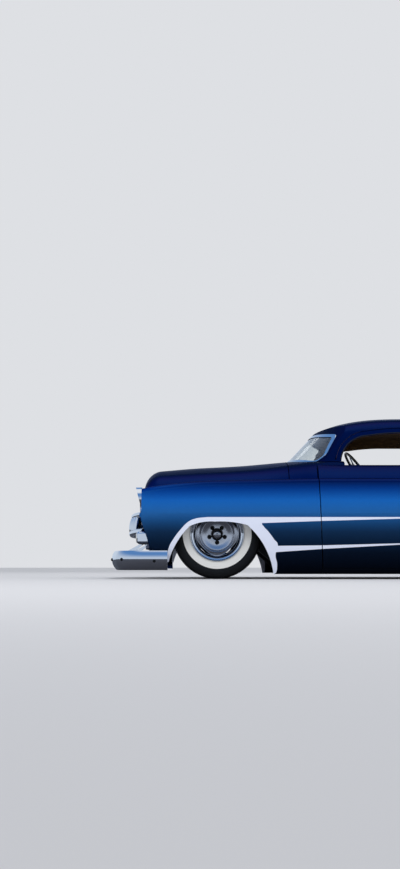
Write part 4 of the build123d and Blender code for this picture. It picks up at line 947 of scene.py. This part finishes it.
def makeBolts():
    rim = [(-0.003, 0.0), (-0.003, bolt["radius"]), (0.002, bolt["radius"])]
    profile = rim + dome(0.002, bolt["height"], bolt["radius"], 0.2, 6)
    head = turnedPiece("bolt", profile, "darkMetal", 24)
    across, height = bolt["frontSpot"]
    frontMiddle = 0.5 * sum(corner.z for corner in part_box("front_bumper"))
    heads = []
    for bumper, sign in (("front_bumper", 1), ("rear_bumper", -1)):
        shell = treeOf(bumper)
        low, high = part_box(bumper)
        tip = high.x if sign > 0 else low.x
        lift = 0.5 * (low.z + high.z) - frontMiddle
        for side in (1, -1):
            rays = [(Vector((tip - sign * back, bolt["rayFrom"] * side, z + lift)), Vector((0, -side, 0)))
                    for back, z in bolt["sideSpots"]]
            rays.append((Vector((tip + sign, side * across, height + lift)), Vector((-sign, 0, 0))))
            for origin, along in rays:
                spot, normal = shell.ray_cast(origin, along)[:2]
                if spot:
                    heads.append(laid(head, spot, normal if normal.dot(along) < 0 else -normal))
    return joined("bumperBolts", heads)


pieceFrom("bumperBolts", makeBolts(), "root")
print("lamps and bolts made")

# seats: padded cushions with upright channels, swollen with Cloth and then sewn
seat = {
    "voxel": 0.014,
    "pressure": 4.0,
    "frames": 20,
    "limit": 0.024,
    "hold": 0.03,
    "channel": 0.085,
    "channelWidth": 0.0075,
    "channelDepth": 0.007,
    # the channels fade out where a face turns away: slope and offset of that
    "fadeSlope": 2.2,
    "fadeOffset": 0.6,
    "holdBelow": 0.02,
    # low corner, high corner, edge radius, facing, rise per metre forwards, set back per metre of height
    "cushions": {
        "frontCushion": ((-0.03, -0.615, 0.272), (0.415, 0.615, 0.372), 0.04, (0.25, 0, 0.97), 0.05, 0.0),
        "frontBackrest": ((-0.092, -0.615, 0.395), (0.015, 0.615, 0.822), 0.04, (0.97, 0, 0.22), 0.0, 0.14),
        "rearCushion": ((-0.795, -0.535, 0.262), (-0.462, 0.535, 0.352), 0.036, (0.25, 0, 0.97), 0.05, 0.0),
        "rearBackrest": ((-0.9, -0.535, 0.405), (-0.842, 0.535, 0.795), 0.024, (0.97, 0, 0.22), 0.0, 0.17),
    },
}


def readVectors(mesh, name):
    values = np.empty(len(mesh.vertices) * 3)
    mesh.vertices.foreach_get(name, values)
    return values.reshape(-1, 3)


def swollen(mesh, holdBelow):  # the mesh blown up like a cushion, held where it rests
    carrier = carrierOf(mesh)
    remesh = carrier.modifiers.new("voxels", "REMESH")
    remesh.mode = "VOXEL"
    remesh.voxel_size = seat["voxel"]
    bpy.context.view_layer.update()
    fine = evaluated(carrier)
    carrier.modifiers.remove(remesh)
    carrier.data = fine
    before = readVectors(fine, "co")
    cloth = carrier.modifiers.new("cloth", "CLOTH")
    cloth.settings.use_pressure = True
    cloth.settings.uniform_pressure_force = seat["pressure"]
    cloth.settings.effector_weights.gravity = 0.0
    cloth.settings.quality = 5
    cloth.collision_settings.use_collision = False
    for frameNumber in range(1, seat["frames"] + 1):
        scene.frame_set(frameNumber)
    after = evaluated(carrier)
    scene.frame_set(1)
    bpy.data.objects.remove(carrier)
    move = readVectors(after, "co") - before
    length = np.linalg.norm(move, axis=1, keepdims=True) + 1e-9
    move *= np.minimum(1.0, seat["limit"] / length)
    move *= np.clip((before[:, 2:3] - holdBelow) / seat["hold"], 0.0, 1.0)
    after.vertices.foreach_set("co", (before + move).ravel())
    after.update()
    return after


def sewn(mesh, along):  # sinks a channel at each seam, where the face looks along the given way
    spots, normals = readVectors(mesh, "co"), readVectors(mesh, "normal")
    pitch = seat["channel"]
    phase = np.abs((spots[:, 1] / pitch + 0.5) % 1.0 - 0.5) * pitch
    sunk = np.exp(-(phase / seat["channelWidth"])**2) * seat["channelDepth"]
    facing = np.clip(normals @ np.array(along) * seat["fadeSlope"] - seat["fadeOffset"], 0.0, 1.0)
    spots -= normals * (sunk * facing)[:, None]
    mesh.vertices.foreach_set("co", spots.ravel())
    mesh.shade_smooth()
    mesh.update()
    return mesh


def makeSeats():
    for name, (low, high, edge, along, rise, lean) in seat["cushions"].items():
        block = softBox(name, low, high, edge, "vinyl")
        for vertex in block.vertices:
            place = vertex.co
            place.z += rise * (place.x - low[0])
            place.x -= lean * (place.z - low[2])
        block.update()
        cushion = swollen(block, low[2] + seat["holdBelow"])
        cushion.materials.clear()
        cushion.materials.append(finishes["vinyl"])
        piece = pieceFrom(name, sewn(cushion, along), "root")


# the seats' backs, rims and bases, which the cushions rest on
seatShells = {
    "front": {
        "back": [(-0.128, 0.3), (-0.02, 0.3), (-0.015, 0.4), (-0.118, 0.835), (-0.15, 0.835)],
        "backHalf": 0.632,
        "backEdge": 0.012,
        "rim": ((-0.05, -0.632, 0.245), (0.425, 0.632, 0.285)),
        "rimEdge": 0.012,
        "base": ((-0.02, 0.16, 0.163), (0.4, 0.6, 0.25)),
    },
    "rear": {
        "back": [(-0.872, 0.4), (-0.96, 0.806), (-1.001, 0.806), (-1.001, 0.549), (-0.955, 0.542)],
        "backHalf": 0.556,
        "backEdge": 0.006,
        "rim": ((-0.735, -0.552, 0.243), (-0.448, 0.552, 0.27)),
        "rimEdge": 0.01,
        "base": ((-0.69, 0.16, 0.163), (-0.475, 0.54, 0.246)),
    },
}


def makeSeatShells():
    for end, shell in seatShells.items():
        parts = [prismMesh("back", shell["back"], shell["backHalf"], shell["backEdge"], "darkVinyl"),
                 softBox("rim", *shell["rim"], shell["rimEdge"], "darkVinyl")]
        (x1, near, z1), (x2, far, z2) = shell["base"]
        for low, high in ((near, far), (-far, -near)):
            parts.append(softBox("base", (x1, low, z1), (x2, high, z2), 0.006, "frameBlack"))
        mesh = joined(f"{end}SeatShell", parts)
        pieceFrom(f"{end}SeatShell", mesh, "root", [f"{end}_seat"])


makeSeats()
makeSeatShells()
print("seats padded")

# door linings: three panels that follow the inner face of the door's skin, and what is fixed on them
doorCard = {
    # outline in X and Z, finish, depth of the pleats and number of columns
    "panels": {
        "upper": ([(0.79, 0.64), (0.808, 0.8), (-0.33, 0.8), (-0.33, 0.64)], "vinyl", 0.0, 40),
        "middle": ([(0.77, 0.42), (0.788, 0.63), (-0.33, 0.63), (-0.33, 0.42)], "vinyl", 0.006, 236),
        "lower": ([(0.745, 0.17), (0.768, 0.41), (-0.33, 0.41), (-0.33, 0.17)], "darkVinyl", 0.0, 40),
    },
    "rows": 8,
    "gap": 0.0005,
    "wall": 0.004,
    "pleatPitch": 0.06,
    "stripHeights": (0.635, 0.415),
    "stripEnds": (-0.335, 0.77),
    "stripPoints": 16,
    "stripDepth": 0.008,
    "stripRod": 0.0042,
    "rod": 0.0055,
    # across the car: where the rays at the door start, and the skin where none meets it
    "rayFrom": 0.5,
    "skin": 0.8,
    "crank": (0.42, 0.715),
    "handle": 0.6,
}


def lining(name, shell, side):
    outline, finish, pleat, columns = doorCard["panels"][name]
    rows, gap, wall = doorCard["rows"], doorCard["gap"], doorCard["wall"]
    xs = [x for x, z in outline]

    def edges(x):  # lowest and highest Z of the outline at x
        found = []
        for (x1, z1), (x2, z2) in zip(outline, outline[1:] + outline[:1]):
            if abs(x2 - x1) > 1e-9 and min(x1, x2) - 1e-9 <= x <= max(x1, x2) + 1e-9:
                found.append(z1 + (z2 - z1) * (x - x1) / (x2 - x1))
        return min(found), max(found)

    points, faces = [], []
    for column in range(columns):
        x = min(xs) + (max(xs) - min(xs)) * column / (columns - 1)
        low, high = edges(x)
        for row in range(rows):
            z = low + (high - low) * row / (rows - 1)
            hit = shell.ray_cast(Vector((x, doorCard["rayFrom"] * side, z)), Vector((0, side, 0)))[0]
            y = abs(hit.y) if hit else (points[-1][1] if points else doorCard["skin"])
            rim = min(column, columns - 1 - column, row, rows - 1 - row)
            swell = 0.0 if rim == 0 else pleat * abs(sin(pi * x / doorCard["pleatPitch"])) * min(rim / 2, 1.0)
            points.append((x, y - gap - wall - swell, z))
    for column in range(columns - 1):
        for row in range(rows - 1):
            a = column * rows + row
            face = (a, a + rows, a + rows + 1, a + 1)
            faces.append(face if side > 0 else (a, a + 1, a + rows + 1, a + rows))
    points = [(x, y * side, z) for x, y, z in points]
    return thickened(meshFrom(name, points, faces, [finish], sharpAngle=60), wall)


def makeDoorCards():
    boss = [(0, 0.0), (0, 0.019), (0.006, 0.017), (0.01, 0.01), (0.01, 0.0)]
    boss = turnedPiece("boss", boss, "chrome", 32)
    knob = [(0, 0.0), (0, 0.006), (0.006, 0.01), (0.022, 0.011), (0.028, 0.006), (0.028, 0.0)]
    knob = turnedPiece("knob", knob, "ivory", 24)
    for label, side in sides.items():
        shell = treeOf(f"door_{label}")

        def inner(x, z):
            start = Vector((x, doorCard["rayFrom"] * side, z))
            return shell.ray_cast(start, Vector((0, side, 0)))[0].y * side

        def spot(x, z, depth):  # a point that far in from the lining at the crank
            return (x, side * (inner(*doorCard["crank"]) - doorCard["wall"] - depth), z)

        parts = [lining(name, shell, side) for name in doorCard["panels"]]
        for z in doorCard["stripHeights"]:
            xs = np.linspace(*doorCard["stripEnds"], doorCard["stripPoints"])
            strip = [(x, side * (inner(x, z) - doorCard["stripDepth"]), z) for x in xs]
            parts.append(barMesh("strip", strip, doorCard["stripRod"], "chrome", 2))
        (x, z), inwards = doorCard["crank"], (0, -side, 0)
        arm = [spot(x, z, 0.01), spot(x - 0.03, z - 0.045, 0.016), spot(x - 0.045, z - 0.08, 0.018)]
        parts += [laid(boss, spot(x, z, 0.0), inwards), barMesh("arm", arm, doorCard["rod"], "chrome", 3),
                  laid(knob, arm[-1], inwards)]
        x = doorCard["handle"]
        handle = [spot(x, z, 0.012), spot(x, z, 0.02), spot(x - 0.06, z - 0.013, 0.022),
                  spot(x - 0.1, z - 0.015, 0.02)]
        parts += [laid(boss, spot(x, z, 0.0), inwards),
                  barMesh("handle", handle, doorCard["rod"], "chrome", 3)]
        pieceFrom(f"doorCard_{label}", joined("doorCard", parts), f"door_{label}")


makeDoorCards()
print("doors lined")

# mouldings over the side windows, on the roof's skin
moulding = {
    "front": 0.642,
    "rear": -0.993,
    "top": 1.14,
    "foot": 0.895,
    # distance out from the window's edge, rod radius and finish
    "rods": [(0.006, 0.0045, "rubber"), (0.046, 0.0055, "roofPaint")],
    "rayFrom": 1.2,
    "leastY": 0.4,
}


def windowEdge():  # the top of the side window's outline, as in the CAD
    front, rear, top = moulding["front"], moulding["rear"], moulding["top"]
    arcs = [
        ((front + 0.012, 0.868), (front - 0.052, 1.052), (front - 0.205, top - 0.022), 14),
        ((front - 0.205, top - 0.022), (front - 0.35, top - 0.005), (front - 0.52, top), 8),
        ((rear + 0.6, top), (rear + 0.46, top - 0.003), (rear + 0.33, top - 0.012), 8),
        ((rear + 0.33, top - 0.012), (rear + 0.095, 1.04), (rear - 0.015, 0.868), 16),
    ]
    points = [point for arc in arcs for point in arcPoints(*arc)][:-3]
    return [point for point in points if point[1] > moulding["foot"]]


def makeMouldings():
    shell = treeOf("roof")
    edge = windowEdge()
    for label, side in sides.items():
        parts = []
        for grow, radius, finish in moulding["rods"]:
            path = []
            for index, (x, z) in enumerate(edge):
                (x1, z1), (x2, z2) = edge[max(index - 1, 0)], edge[min(index + 1, len(edge) - 1)]
                length = sqrt((x2 - x1)**2 + (z2 - z1)**2)
                px, pz = x + (z2 - z1) / length * grow, z - (x2 - x1) / length * grow
                start = Vector((px, moulding["rayFrom"] * side, pz))
                hit = shell.ray_cast(start, Vector((0, -side, 0)))[0]
                if hit and abs(hit.y) > moulding["leastY"]:
                    path.append((px, hit.y, pz))
            parts.append(barMesh("moulding", path, radius, finish, 3))
        pieceFrom(f"windowMoulding_{label}", joined("windowMoulding", parts), "root")


makeMouldings()

# engine dressing that shows when the hood is up
engineBay = {
    "top": 0.76,
    "front": 1.777,
    "cleanerPlace": (1.46, 0.0, 0.792),
    "coverEnds": (1.13, 1.75),
    "coverSides": (0.085, 0.225),
    "coverMiddle": 0.155,
    "coverRise": 0.048,
    "sunk": 0.004,
    "distributorX": 1.165,
    "plugs": [1.2, 1.36, 1.52, 1.68],
    "fanBlades": 6,
    "fanHeight": 0.52,
    # place across, height and radius
    "pulleys": [(0.13, 0.6, 0.045), (-0.13, 0.42, 0.07)],
    "hoseRadius": 0.021,
    "hoses": [
        [(1.778, 0.06, 0.7), (1.86, 0.07, 0.72), (1.95, 0.1, 0.66), (2.053, 0.12, 0.595)],
        [(1.778, -0.08, 0.34), (1.86, -0.1, 0.36), (1.96, -0.14, 0.38), (2.053, -0.2, 0.385)],
    ],
    "battery": ((1.04, 0.36, 0.5), (1.22, 0.54, 0.68)),
}


def smoothed(points, count):  # Catmull-Rom points through the given ones
    spots = [Vector(p) for p in points]
    spots = [spots[0] * 2 - spots[1]] + spots + [spots[-1] * 2 - spots[-2]]
    result = []
    for a, b, c, d in zip(spots, spots[1:], spots[2:], spots[3:]):
        bend, lift = 2 * a - 5 * b + 4 * c - d, 3 * b - a - 3 * c + d
        for step in range(count):
            t = step / count
            result.append(0.5 * (2 * b + (c - a) * t + bend * t**2 + lift * t**3))
    return [tuple(p) for p in result + [spots[-2]]]


def makeEngineDressing():
    top, front = engineBay["top"], engineBay["front"]
    up, forwards = (0, 0, 1), (1, 0, 0)
    coverBolt = [(0, 0.0), (0, 0.011), (0.006, 0.011), (0.008, 0.008), (0.008, 0.0)]
    coverBolt = laid(turnedPiece("coverBolt", coverBolt, "darkMetal", 12), (0, 0, 0), up)
    parts = []
    for side in (1, -1):
        low, high = sorted(side * y for y in engineBay["coverSides"])
        back, ahead = engineBay["coverEnds"]
        bottom, lid = top - engineBay["sunk"], top + engineBay["coverRise"]
        parts.append(softBox("valveCover", (back, low, bottom), (ahead, high, lid), 0.016, "chrome"))
        for index, x in enumerate(engineBay["plugs"]):
            parts.append(moved(coverBolt, (x, side * engineBay["coverMiddle"], top + 0.046)))
            lead = [(x, side * 0.245, 0.66), (x + 0.01, side * 0.262, 0.7), (x + 0.01, side * 0.258, 0.79),
                    (1.2 + 0.02 * index, side * 0.16, 0.836), (engineBay["distributorX"], side * 0.03, 0.83)]
            parts.append(barMesh("lead", smoothed(lead, 6), 0.0038, "rubber", 2))
    cleaner = [(0.0, 0.0), (0.0, 0.13), (0.006, 0.14), (0.016, 0.142), (0.02, 0.136), (0.036, 0.136),
               (0.04, 0.142), (0.05, 0.14), (0.058, 0.12), (0.062, 0.02), (0.07, 0.014), (0.07, 0.0)]
    neck = [(0, 0.0), (0, 0.055), (0.036, 0.05), (0.036, 0.0)]
    cap = [(0, 0.0), (0, 0.035), (0.03, 0.045), (0.055, 0.045), (0.07, 0.03), (0.07, 0.0)]
    x, y, z = engineBay["cleanerPlace"]
    parts.append(laid(turnedPiece("airCleaner", cleaner, "chrome", 96), (x, y, z), up))
    parts.append(laid(turnedPiece("neck", neck, "darkMetal", 48), (x, y, top - 0.002), up))
    distributor = turnedPiece("distributor", cap, "darkMetal", 32)
    parts.append(laid(distributor, (engineBay["distributorX"], y, top - 0.002), up))
    blade = softBox("blade", (-0.004, -0.03, 0.04), (0.004, 0.03, 0.15), 0.003, "darkMetal", 1)
    blade.transform(Matrix.Rotation(radians(30), 4, "Z"))
    blades = spinRepeats("fanBlades", blade, engineBay["fanBlades"], "darkMetal", "X")
    parts.append(moved(blades, (front + 0.058, 0.0, engineBay["fanHeight"])))
    hub = [(0.0, 0.0), (0.0, 0.05), (0.025, 0.055), (0.04, 0.045), (0.065, 0.04), (0.065, 0.0)]
    hub = turnedPiece("fanHub", hub, "chrome", 48)
    parts.append(laid(hub, (front, 0.0, engineBay["fanHeight"]), forwards))
    for y, z, radius in engineBay["pulleys"]:
        pulley = [(0, 0.0), (0, radius), (0.008, radius - 0.008), (0.016, radius), (0.02, radius),
                  (0.02, 0.0)]
        parts.append(laid(turnedPiece("pulley", pulley, "darkMetal", 48), (front, y, z), forwards))
    for hose in engineBay["hoses"]:
        parts.append(barMesh("hose", smoothed(hose, 8), engineBay["hoseRadius"], "rubber", 5))
    parts.append(softBox("battery", *engineBay["battery"], 0.008, "blackPlastic"))
    pieceFrom("engineDressing", joined("engineDressing", parts), "root")


makeEngineDressing()

radiatorCore = {
    "fins": 58,
    "margin": 0.018,
    "finHalf": 0.0014,
    "finInset": 0.04,
    "endTank": 0.036,
    "tankHalf": 0.006,
    "tankInset": 0.004,
    # how far each reaches behind and before the radiator's front
    "finReach": (-0.002, 0.006),
    "tankReach": (-0.001, 0.008),
}


def makeRadiatorFins():
    low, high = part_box("radiator")
    last, margin, half = radiatorCore["fins"] - 1, radiatorCore["margin"], radiatorCore["finHalf"]
    bottom, top = low.z + radiatorCore["finInset"], high.z - radiatorCore["finInset"]
    back, face = [high.x + reach for reach in radiatorCore["finReach"]]
    parts = []
    for index in range(radiatorCore["fins"]):
        y = low.y + margin + (high.y - low.y - 2 * margin) * index / last
        start, end = (back, y - half, bottom), (face, y + half, top)
        parts.append(softBox("fin", start, end, 0.0005, "darkMetal", 1))
    half, inset = radiatorCore["tankHalf"], radiatorCore["tankInset"]
    back, face = [high.x + reach for reach in radiatorCore["tankReach"]]
    for z in (low.z + radiatorCore["endTank"], high.z - radiatorCore["endTank"]):
        start, end = (back, low.y + inset, z - half), (face, high.y - inset, z + half)
        parts.append(softBox("tank", start, end, 0.002, "darkMetal", 2))
    pieceFrom("radiatorFins", joined("radiatorFins", parts), "root")


makeRadiatorFins()
print("engine bay dressed")

# cabin fittings: three pedals, the gear lever with its boot, and the mirror
cabin = {
    "pedals": [0.3, 0.43, 0.56],
    "stem": [(0.985, 0.47), (0.955, 0.4), (0.93, 0.33), (0.915, 0.285)],
    "padHalf": (0.008, 0.03, 0.035),
    "padTilt": radians(-32),
    "lever": [(0.62, 0.0, 0.335), (0.6, 0.0, 0.42), (0.575, 0.0, 0.5), (0.56, 0.0, 0.575)],
    "knobRadius": 0.02,
    "mirror": ((0.618, -0.11, 1.105), (0.634, 0.11, 1.155)),
    "mirrorStem": [(0.632, 0.0, 1.15), (0.65, 0.0, 1.18), (0.655, 0.0, 1.205)],
}


def makeCabinFittings():
    half, radius = Vector(cabin["padHalf"]), cabin["knobRadius"]
    parts = []
    for y in cabin["pedals"]:
        stem = [(x, y, z) for x, z in cabin["stem"]]
        parts.append(barMesh("stem", stem, 0.006, "darkMetal", 2))
        pad = softBox("pad", -half, half, 0.005, "rubber", 2)
        pad.transform(Matrix.Rotation(cabin["padTilt"], 4, "Y"))
        parts.append(moved(pad, (0.905, y, 0.28)))
    parts.append(barMesh("lever", smoothed(cabin["lever"], 6), 0.007, "chrome", 3))
    ball = [(-radius * cos(t), radius * sin(t)) for t in np.linspace(0.001, pi - 0.001, 14)]
    parts.append(laid(turnedPiece("ball", ball, "ivory", 32), (0.556, 0.0, 0.59), (0, 0, 1)))
    boot = [(0.0, 0.0), (0.0, 0.06), (0.01, 0.055), (0.03, 0.03), (0.05, 0.016), (0.06, 0.01),
            (0.06, 0.0)]
    parts.append(laid(turnedPiece("boot", boot, "rubber", 48), (0.622, 0.0, 0.341), (-0.15, 0, 1)))
    pieceFrom("cabinFittings", joined("cabinFittings", parts), "root")
    glass = softBox("mirror", *cabin["mirror"], 0.007, "chrome", 3)
    stem = barMesh("mirrorStem", cabin["mirrorStem"], 0.005, "chrome", 3)
    pieceFrom("mirror", joined("mirror", [glass, stem]), "root")


makeCabinFittings()

# bright ring and centre on each tail lamp
tailLamp = {"place": (-2.33, 0.705, 0.56), "radius": 0.052, "dotRadius": 0.017}


def makeTailLampRings():
    radius, dotRadius = tailLamp["radius"], tailLamp["dotRadius"]
    ring = [(0.0125, radius - 0.0075), (0.0125, radius + 0.009), (0.0165, radius + 0.0085),
            (0.0185, radius + 0.003), (0.0175, radius - 0.004)]
    dot = [(0.0335, 0.0), (0.0335, dotRadius), (0.0375, dotRadius - 0.002), (0.0395, dotRadius - 0.009),
           (0.0395, 0.0)]
    pair = [turnedPiece("ring", ring, "chrome", 72), turnedPiece("centre", dot, "chrome", 36)]
    x, y, z = tailLamp["place"]
    parts = [laid(mesh, (x, y * side, z), (-1, 0, 0)) for side in (1, -1) for mesh in pair]
    pieceFrom("tailLampRings", joined("tailLampRings", parts), "root")


makeTailLampRings()
print("cabin and tail dressed")

# floor, sky, lamps and camera
stage = {
    "floorRadius": 60.0,
    "floorSides": 64,
    "floorColour": (212, 212, 214),
    "floorInChrome": (70, 72, 80),
    "sky": (222, 224, 228),
    "horizon": (196, 210, 228),
    "overhead": (92, 138, 196),
    "zenith": (236, 242, 250),
    "ambient": (226, 228, 232),
    # heights in the sky, as the sine of the angle, between which the colours fade
    "overheadFade": (0.1, 0.65),
    "zenithFade": (0.8, 0.97),
    # name, place, aim, width, depth and watts
    "lamps": [
        ("keyLamp", (3.5, 7.0, 5.5), (0.6, 0.0, 0.5), 5.0, 3.0, 150),
        ("fillLamp", (-5.0, 6.0, 4.0), (-0.6, 0.0, 0.5), 5.0, 3.0, 70),
        ("backLamp", (0.0, -7.0, 5.5), (0.0, 0.0, 0.5), 7.0, 3.0, 90),
        ("topLamp", (0.5, 0.0, 6.5), (0.5, 0.0, 0.0), 7.0, 3.0, 50),
    ],
    # the lens and place that the photograph was read with: 1240 pixels at 400 by 869
    "lensPixels": 1240,
    "imageHeight": 869,
    "sensorHeight": 36.0,
    "cameraPlace": (1.7605, 10.38, 0.1),
    "cameraTilt": 6.05,
}


def makeFloor():
    radius, count = stage["floorRadius"], stage["floorSides"]
    points = [(radius * cos(2 * pi * i / count), radius * sin(2 * pi * i / count), 0) for i in range(count)]
    mesh = meshFrom("floor", points, [tuple(range(count))], [])
    floor = bpy.data.objects.new("floor", mesh)
    scene.collection.objects.link(floor)
    material, tree, shader, texture = newMaterial("floorPaint", (3.0, 0.0, 0.8, 0.05), Specular_IOR_Level=0.1)
    glossy = addNode(tree, "LightPath").outputs["Is Glossy Ray"]
    colour = mixColour(tree, glossy, seen(*stage["floorColour"]), seen(*stage["floorInChrome"]))
    tree.links.new(colour, shader.inputs["Base Color"])
    mesh.materials.append(material)


def makeSky():  # plain to the camera, pale to the light, and blue above a bright horizon in the chrome
    world = bpy.data.worlds.new("studio")
    scene.world = world
    world.use_nodes = True
    tree = world.node_tree
    background = tree.nodes["Background"]
    path = addNode(tree, "LightPath")
    shown = mathNode(tree, "MAXIMUM", path.outputs["Is Camera Ray"], path.outputs["Is Transmission Ray"])
    direction = addNode(tree, "SeparateXYZ", {0: addNode(tree, "TexCoord").outputs["Generated"]})
    high = remap(tree, direction.outputs["Z"], *stage["overheadFade"], smooth=True)
    mirrored = mixColour(tree, high, seen(*stage["horizon"]), seen(*stage["overhead"]))
    above = remap(tree, direction.outputs["Z"], *stage["zenithFade"], smooth=True)
    mirrored = mixColour(tree, above, mirrored, seen(*stage["zenith"]))
    unlit = mixColour(tree, path.outputs["Is Glossy Ray"], seen(*stage["ambient"]), mirrored)
    tree.links.new(mixColour(tree, shown, unlit, seen(*stage["sky"])), background.inputs["Color"])
    background.inputs["Strength"].default_value = 1.0


def makeLamps():
    for name, place, aim, width, depth, watts in stage["lamps"]:
        light = bpy.data.lights.new(name, "AREA")
        light.shape = "RECTANGLE"
        light.size = width
        light.size_y = depth
        light.energy = watts
        holder = bpy.data.objects.new(name, light)
        scene.collection.objects.link(holder)
        holder.visible_glossy = False
        holder.location = place
        holder.rotation_euler = (Vector(aim) - Vector(place)).to_track_quat("-Z", "Y").to_euler()


def makeCamera():
    data = bpy.data.cameras.new("camera")
    data.sensor_fit = "VERTICAL"
    data.sensor_height = stage["sensorHeight"]
    data.lens = stage["sensorHeight"] * stage["lensPixels"] / stage["imageHeight"]
    camera = bpy.data.objects.new("camera", data)
    scene.collection.objects.link(camera)
    camera.location = stage["cameraPlace"]
    camera.rotation_euler = (radians(90 + stage["cameraTilt"]), 0, pi)
    scene.camera = camera


makeFloor()
makeSky()
makeLamps()
makeCamera()
scene.view_settings.view_transform = "Standard"
print("stage set")
